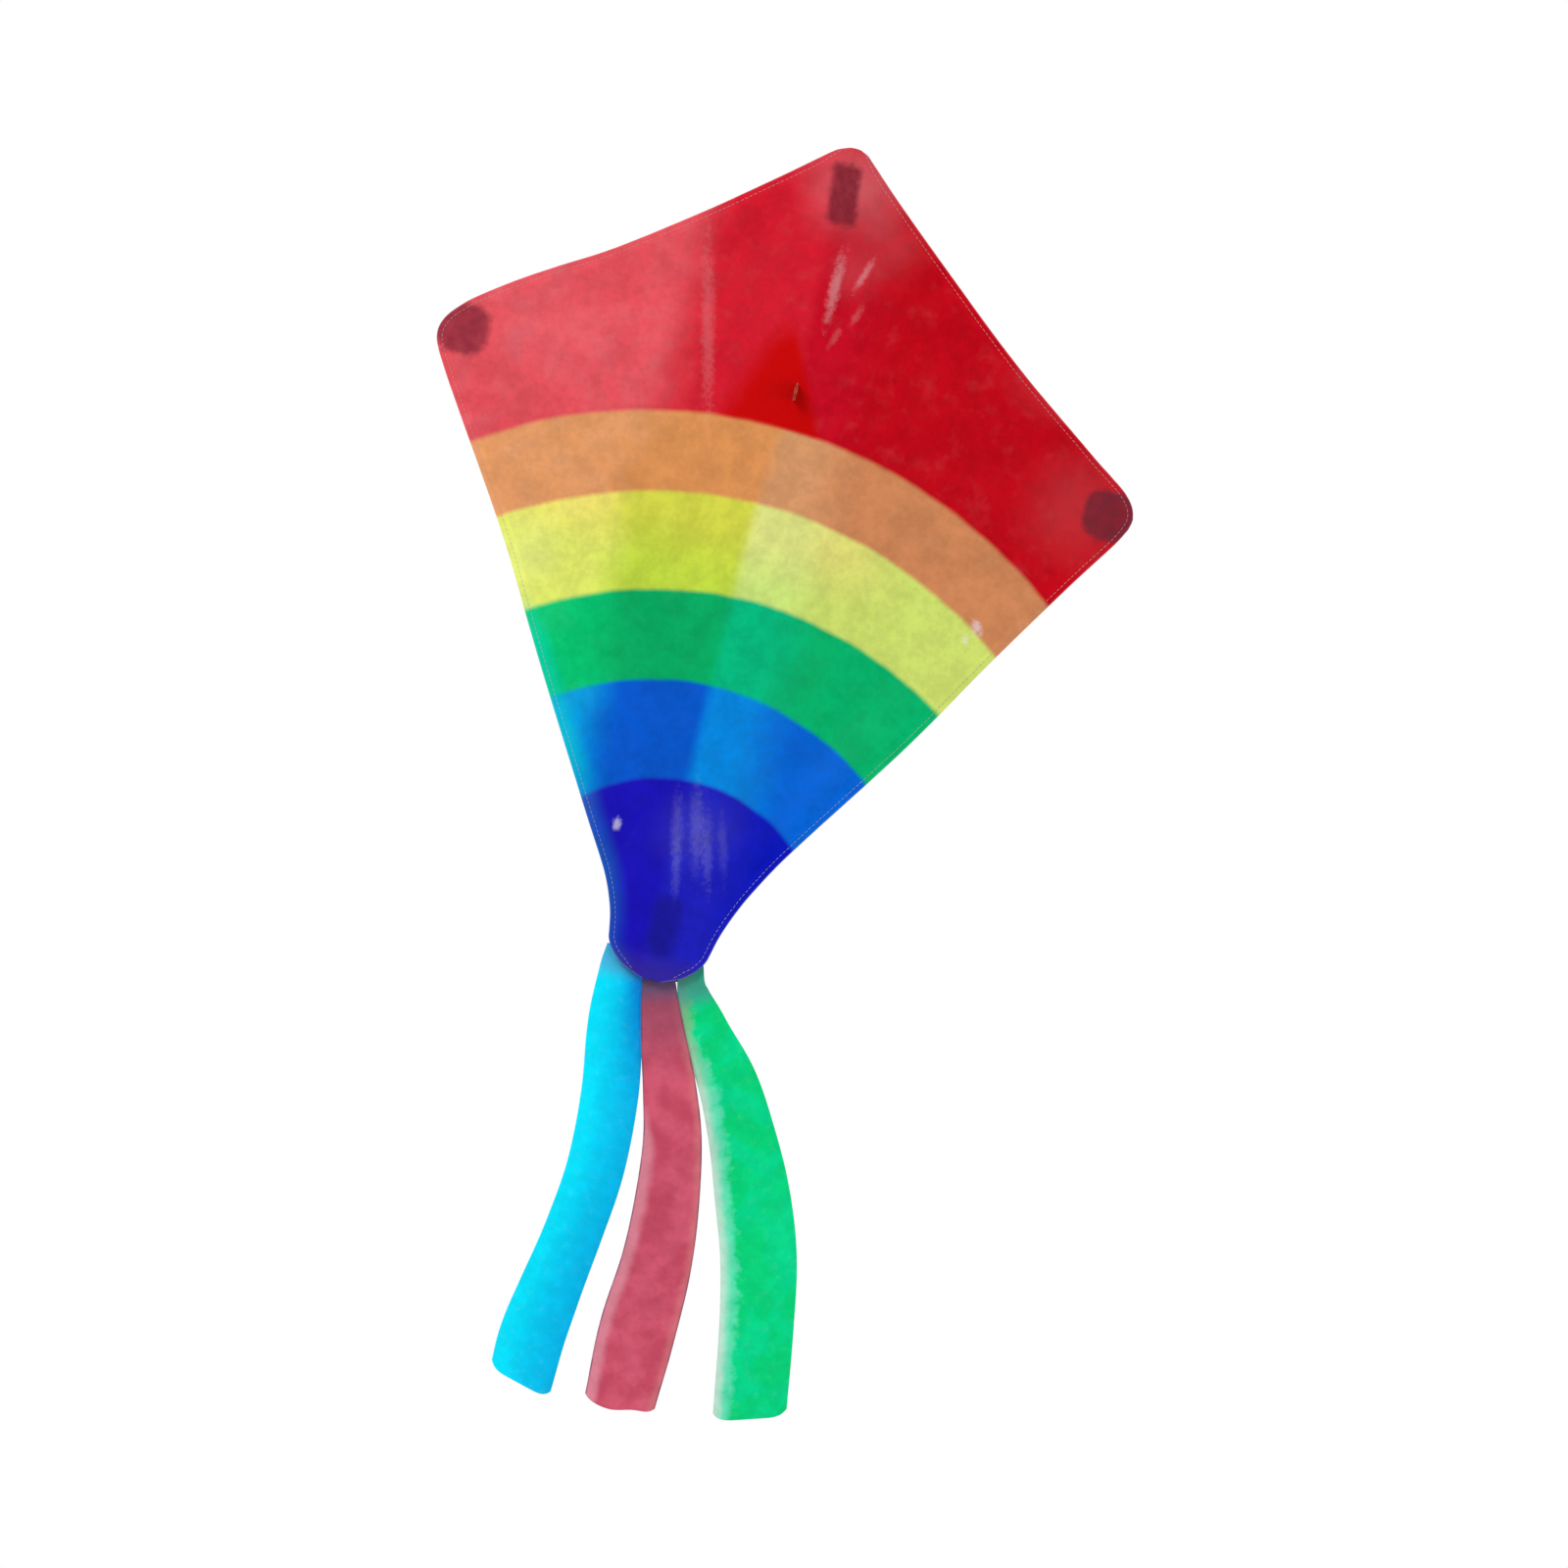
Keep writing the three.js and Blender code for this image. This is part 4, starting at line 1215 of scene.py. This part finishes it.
def hub_arm(side):
    """The cross tube's side arm: it runs from the fold out along the spar, and grips the spar with a rolled
    lip.
    """
    start, end, radius, bore = ARM["start"], ARM["end"], ARM["radius"], ARM["bore"]
    outside = [[radius, along] for along in np.linspace(start, end - 2.4, 41)]
    lip = [[radius + 0.3, end - 1.9], [radius + 0.35, end - 1.1], [radius + 0.2, end - 0.4],
           [radius - 0.4, end], [bore + 0.3, end]]
    inside = [[bore, along] for along in np.linspace(end, start, 31)]
    shape = turned(Shape(), outside + lip + inside, round_spar(side))
    made = shape.solid(f"cross_tube_arm_{SIDES[side]}", VINYL, "black_vinyl", crisp=55)
    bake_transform(made)
    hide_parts(f"spar_sleeve_{SIDES[side]}")


# ---- towing tab and eyelet ----


def tab_reach(turn):
    """How far the tab reaches from the eyelet's centre: round in front, and square behind."""
    to_side = TAB["half_width"] / np.maximum(np.abs(np.sin(turn)), 1e-6)
    to_root = (-TAB["root"] - EYE["y"]) / np.maximum(np.cos(turn), 1e-6)
    return np.where(np.cos(turn) > 0, np.minimum(to_side, to_root), TAB["half_width"])


def tab():
    """Two layers of webbing that come together in front of the spine, with a hole for the eyelet."""
    shape = Shape()
    turn = np.arange(121) / 120 * 2 * math.pi
    reach = tab_reach(turn)
    radius = EYE["hole"] + np.linspace(0, 1, 12)[:, None] * (reach - EYE["hole"])
    y = EYE["y"] + radius * np.cos(turn)
    z = EYE["height"] + radius * np.sin(turn)
    spread = 0.55 * smooth(y, -TAB["root"] - 5, -TAB["root"])
    edge = 0.14 * (1 - smooth(np.abs(radius - reach), 0, 0.9))
    for side in SIDES:
        inner = stacked(side * (0.02 + spread), y, z)
        outer = stacked(side * (TAB["layer"] + spread - edge), y, z)
        plate(shape, inner, outer, axial=inner)
    low, high = EYE["height"] - TAB["half_width"], EYE["height"] + TAB["half_width"]
    inside, outside = ROD_RADIUS + 0.3, TAB["loop"]
    loop = [[inside, low], [outside - 0.15, low], [outside, low + 0.3], [outside, high - 0.3],
            [outside - 0.15, high], [inside, high]]
    turned(shape, loop, round_spine(), sides=48)
    made = shape.solid("towing_tab", WEBBING, "tow_webbing", crisp=60, welded=True)
    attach(made, "frame")
    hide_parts("tow_tab")


def tab_stitches():
    """A box of stitches with a cross in it on each side of the tab, behind the eyelet."""
    shape = Shape()
    front, back = EYE["y"] + 7.4, -TAB["root"] - 3.0
    low, high = EYE["height"] - 5.4, EYE["height"] + 5.4
    corners = [[front, low], [back, low], [back, high], [front, high], [front, low], [back, high]]
    runs = [*zip(corners, corners[1:]), ([back, low], [front, high])]
    for side in SIDES:
        for run in runs:
            line = np.array([[side * TAB["layer"], *corner] for corner in run], float)
            stitches(shape, spaced(line, 12), [side, 0, 0], length=1.5, gap=0.8)
    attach(shape.piece("tab_stitches", PALE_THREAD, "tow_webbing"), "frame")


def eyelet():
    """A pressed ring: a barrel through the tab, rolled over into a flange on each side."""
    bore, flange, face, hole = EYE["bore"], EYE["flange"], TAB["layer"] + 0.1, EYE["hole"] - 0.1
    half = [[bore, 0.0], [bore, face - 0.1], [bore + 0.12, face + 0.35], [bore + 0.5, face + 0.62],
            [bore + 1.0, face + 0.68], [flange - 0.5, face + 0.42], [flange - 0.1, face + 0.22],
            [flange, face + 0.06], [flange - 0.12, face - 0.02], [hole, face - 0.02], [hole, 0.0]]
    profile = half + [[radius, -along] for radius, along in half[-2:0:-1]]
    turned_piece("pressed_eyelet", "tow_eyelet", "frame", profile,
                 lambda along, u, v: stacked(along, u + EYE["y"], v + EYE["height"]),
                 BRASS, "eyelet_brass", 56, 60)


# ---- tape and ribbons ----


def tape():
    """The tape across the lower corner that the ribbons are sewn to, with its lower corners rounded."""
    across = np.linspace(TAPE["left"], TAPE["right"], 90)
    off_end = np.minimum(across - TAPE["left"], TAPE["right"] - across)
    short = 1 - np.minimum(off_end, TAPE["corner"]) / TAPE["corner"]
    inset = 7.5 * (1 - np.sqrt(np.clip(1 - short**2, 0, 1)))
    low, high = TAPE["low"] + inset, TAPE["high"] - 0.5 * inset
    z = low + np.linspace(0, 1, 26)[:, None] * (high - low)
    y = TAPE["y"] + 0.35 * wander(stacked(across, 0, z), 22, 2) * smooth(np.abs(across), 10, 36)
    half = TAPE["thickness"] / 2 - 0.12 * (1 - smooth(np.minimum(z - low, high - z), 0, 1.0))
    shape = sheet(Shape(), stacked(across, y - half, z), stacked(across, y + half, z))
    made = shape.solid("tail_tape", DARK, "pocket_cloth")
    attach(made, "frame")
    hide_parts("tail_binding")


def tape_stitches():
    shape = Shape()
    seam = np.linspace(TAPE["left"] + 4, TAPE["right"] - 4, 60)
    for height in (RIBBON_HOLD, RIBBON_HOLD - 5):
        line = stacked(seam, TAPE["y"] + TAPE["thickness"] / 2 + 0.1, height)
        stitches(shape, line, [0, 1, 0], length=2.0, gap=1.0)
    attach(shape.piece("tape_stitches", PALE_THREAD, "pocket_cloth"), "frame")


RIBBON_ROWS, RIBBON_COLUMNS = 190, 31
RIBBON_CLOTH = {"single": 0.28, "extra": 0.3, "fold": 5.0}


def ribbon_grid(facts):
    """A ribbon laid out flat: x, z, the share across, the length down and the width, for each point."""
    line = curve_through(facts["line"], RIBBON_ROWS)
    along = lengths(line)
    down = np.gradient(line, axis=0)
    down = down + np.array([0, -3.0]) * smooth(24 - along, 0, 14)[:, None]
    down /= np.linalg.norm(down, axis=1, keepdims=True)
    table = curve_through(facts["widths"], 60)
    width = np.interp(along, table[:, 0], table[:, 1])[:, None]
    share = np.linspace(0, 1, RIBBON_COLUMNS)
    offset = (share - 0.5) * width
    end_shape = facts["slant"] * (share - 0.5) * 2 + 7 * (np.abs(2 * share - 1) ** 6)
    if facts["curl"]:
        end_shape = end_shape + 1.4 * np.sin(9 * share + 1)
    pull = smooth(along[-1] - along, 60, 0)[:, None] * end_shape
    x = line[:, :1] - down[:, 1:] * offset - down[:, :1] * pull
    z = line[:, 1:] + down[:, :1] * offset - down[:, 1:] * pull
    flat = line[:, :1] - down[:, 1:] * offset, line[:, 1:] + down[:, :1] * offset
    return x, z, stacked(flat[0], 0, flat[1]), share, along[:, None], width


def ribbon_depth(facts, points, share, along, width):
    """How far back a ribbon is at each point: its ripples, the waves of its edges and its curled end."""
    wave_depth, waves, phase = facts["ripple"]
    length = along[-1]
    ripple = wave_depth * smooth((along - 40) / (0.3 * length))
    y = ripple * np.sin(2 * math.pi * waves * along / length + phase + (share - 0.5))
    y = y + 1.6 * np.sin(math.pi * share) * smooth(along, 30, 90)
    y = y + 0.9 * wander(points, 26, 7) * smooth(along, 30, 80)
    from_edge = np.minimum(share, 1 - share) * width
    y = y + 1.1 * smooth(9 - from_edge, 0, 9) * wander(points, 18, 13) * smooth(along, 40, 90)
    y = y - facts["curl"] * smooth(length - along, 22, 0) ** 2 * (0.7 + 0.3 * np.sin(7 * share))
    hung = TAPE["y"] + facts["layer"]
    sewn = TAPE["y"] - 1.2 + 0.35 * facts["layer"]
    return y + sewn + (hung - sewn) * smooth(along, 19, 44), from_edge


def ribbon(name):
    """A ribbon from the tape down to its free end, rippled, with its edges folded over."""
    facts = RIBBONS[name]
    x, z, points, share, along, width = ribbon_grid(facts)
    y, from_edge = ribbon_depth(facts, points, share, along, width)
    folded = 1 - smooth(from_edge, RIBBON_CLOTH["fold"] - 0.6, RIBBON_CLOTH["fold"])
    half = (RIBBON_CLOTH["single"] + RIBBON_CLOTH["extra"] * folded * smooth(along, 26, 34)) / 2
    strip = stacked(share * width, along, width)
    shape = sheet(Shape(), stacked(x, y - half, z), stacked(x, y + half, z), strip=strip)
    made = shape.solid(f"{name}_ribbon_cloth", RIBBON_LOOKS[name], f"{name}_ribbon", crisp=50)
    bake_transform(made)
    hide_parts(f"{name}_tail")


# ---- making it ----

FACES = {side: sail_half(side) for side in SIDES}
for side, label in SIDES.items():
    hem_stitches(side, *FACES[side])
    tip_pocket(side)
    patch(side)
    sewn_down(side)
    hub_arm(side)
    rod(f"spar_rod_{label}", f"spar_{label}", f"{label}_wing", SPAR_INNER, SPAR_OUTER, round_spar(side))
    cap(f"tip_cap_fine_{label}", f"tip_cap_{label}", f"{label}_wing",
        lambda mouth, side=side: round_spar(side, mouth), SPAR_OUTER)
pocket("nose", NOSE_POCKET, closed_end=1)
pocket("tail", TAIL_POCKET, closed_end=-1)
for place_name, tie_height in TIES.items():
    tie(place_name, tie_height)
rod("spine_rod_fine", "spine_rod", "frame", SPINE_BOTTOM, SPINE_TOP, round_spine())
cap("nose_cap_fine", "nose_cap", "frame", lambda mouth: round_spine(mouth, 1), SPINE_TOP)
cap("tail_cap_fine", "tail_cap", "frame", lambda mouth: round_spine(mouth, -1), SPINE_BOTTOM, -1)
hub()
tab()
tab_stitches()
eyelet()
tape()
tape_stitches()
for ribbon_name in RIBBONS:
    ribbon(ribbon_name)

# ---- floor, light and camera ----


def floor():
    """A wide round floor, well below the kite."""
    radius, edge, thickness = 1150, 2, 12
    top = (CAD_BOX[0].z - CROSSING_Z) / MM - FLOOR_DROP
    profile = [[0, top - thickness], [radius, top - thickness], [radius, top - edge],
               [radius - edge, top], [0, top]]
    turned(Shape(), profile, round_spine(), sides=96).solid("floor", floor_paint())


# Name, place and size in metres, and power in watts.
LIGHTS = [("key", (-1.7, -2.3, 1.5), 1.6, 69), ("fill", (2.4, -2.0, 0.1), 1.8, 33),
          ("back", (0.6, 2.6, 1.4), 1.8, 54)]
LIT_PLACE = (0.0, 0.0, -0.25)  # the middle of the kite, which the lights are aimed at
SURROUND = {"colour": (0.96, 0.98, 1.0, 1), "strength": 0.56}


def area_light(name, place, size, power):
    """A round light aimed at the middle of the kite."""
    data = bpy.data.lights.new(name, "AREA")
    data.shape, data.size, data.energy = "DISK", size, power
    made = in_scene(name, data)
    made.location = place
    made.rotation_euler = (Vector(LIT_PLACE) - Vector(place)).to_track_quat("-Z", "Y").to_euler()


def studio():
    """A soft key from the upper left, a weaker fill, one light behind, and an even white surround."""
    for light in LIGHTS:
        area_light(*light)
    world = bpy.data.worlds.new("surround")
    bpy.context.scene.world = world
    world.use_nodes = True
    tree = world.node_tree
    lighting = tree.nodes["Background"]
    lighting.inputs["Color"].default_value = SURROUND["colour"]
    lighting.inputs["Strength"].default_value = SURROUND["strength"]
    seen = add_node(tree, "Background", {"Color": (1, 1, 1, 1)})
    in_view = add_node(tree, "LightPath", (), "Is Camera Ray")
    mixed = add_node(tree, "MixShader", (in_view, lighting.outputs[0], seen))
    plug(tree, tree.nodes["World Output"].inputs[0], mixed)
    bpy.context.scene.view_settings.view_transform = "Standard"


# The view, in metres.
ROLL = math.radians(13.8)  # the kite leans to the right in it
VIEW_CENTRE = (0.0681, -0.3178)
VIEW_WIDTH = 1.3008
VIEW_DISTANCE = 4.0
SENSOR_WIDTH = 36  # millimetres


def camera():
    """Straight in front of the kite, and rolled so that it leans."""
    data = bpy.data.cameras.new("camera")
    data.sensor_width = SENSOR_WIDTH
    data.lens = SENSOR_WIDTH * VIEW_DISTANCE / VIEW_WIDTH
    made = in_scene("camera", data)
    made.location = (VIEW_CENTRE[0], FOLD[1] - VIEW_DISTANCE, VIEW_CENTRE[1])
    made.rotation_euler = (math.radians(90), -ROLL, 0)
    bpy.context.scene.camera = made


floor()
studio()
camera()
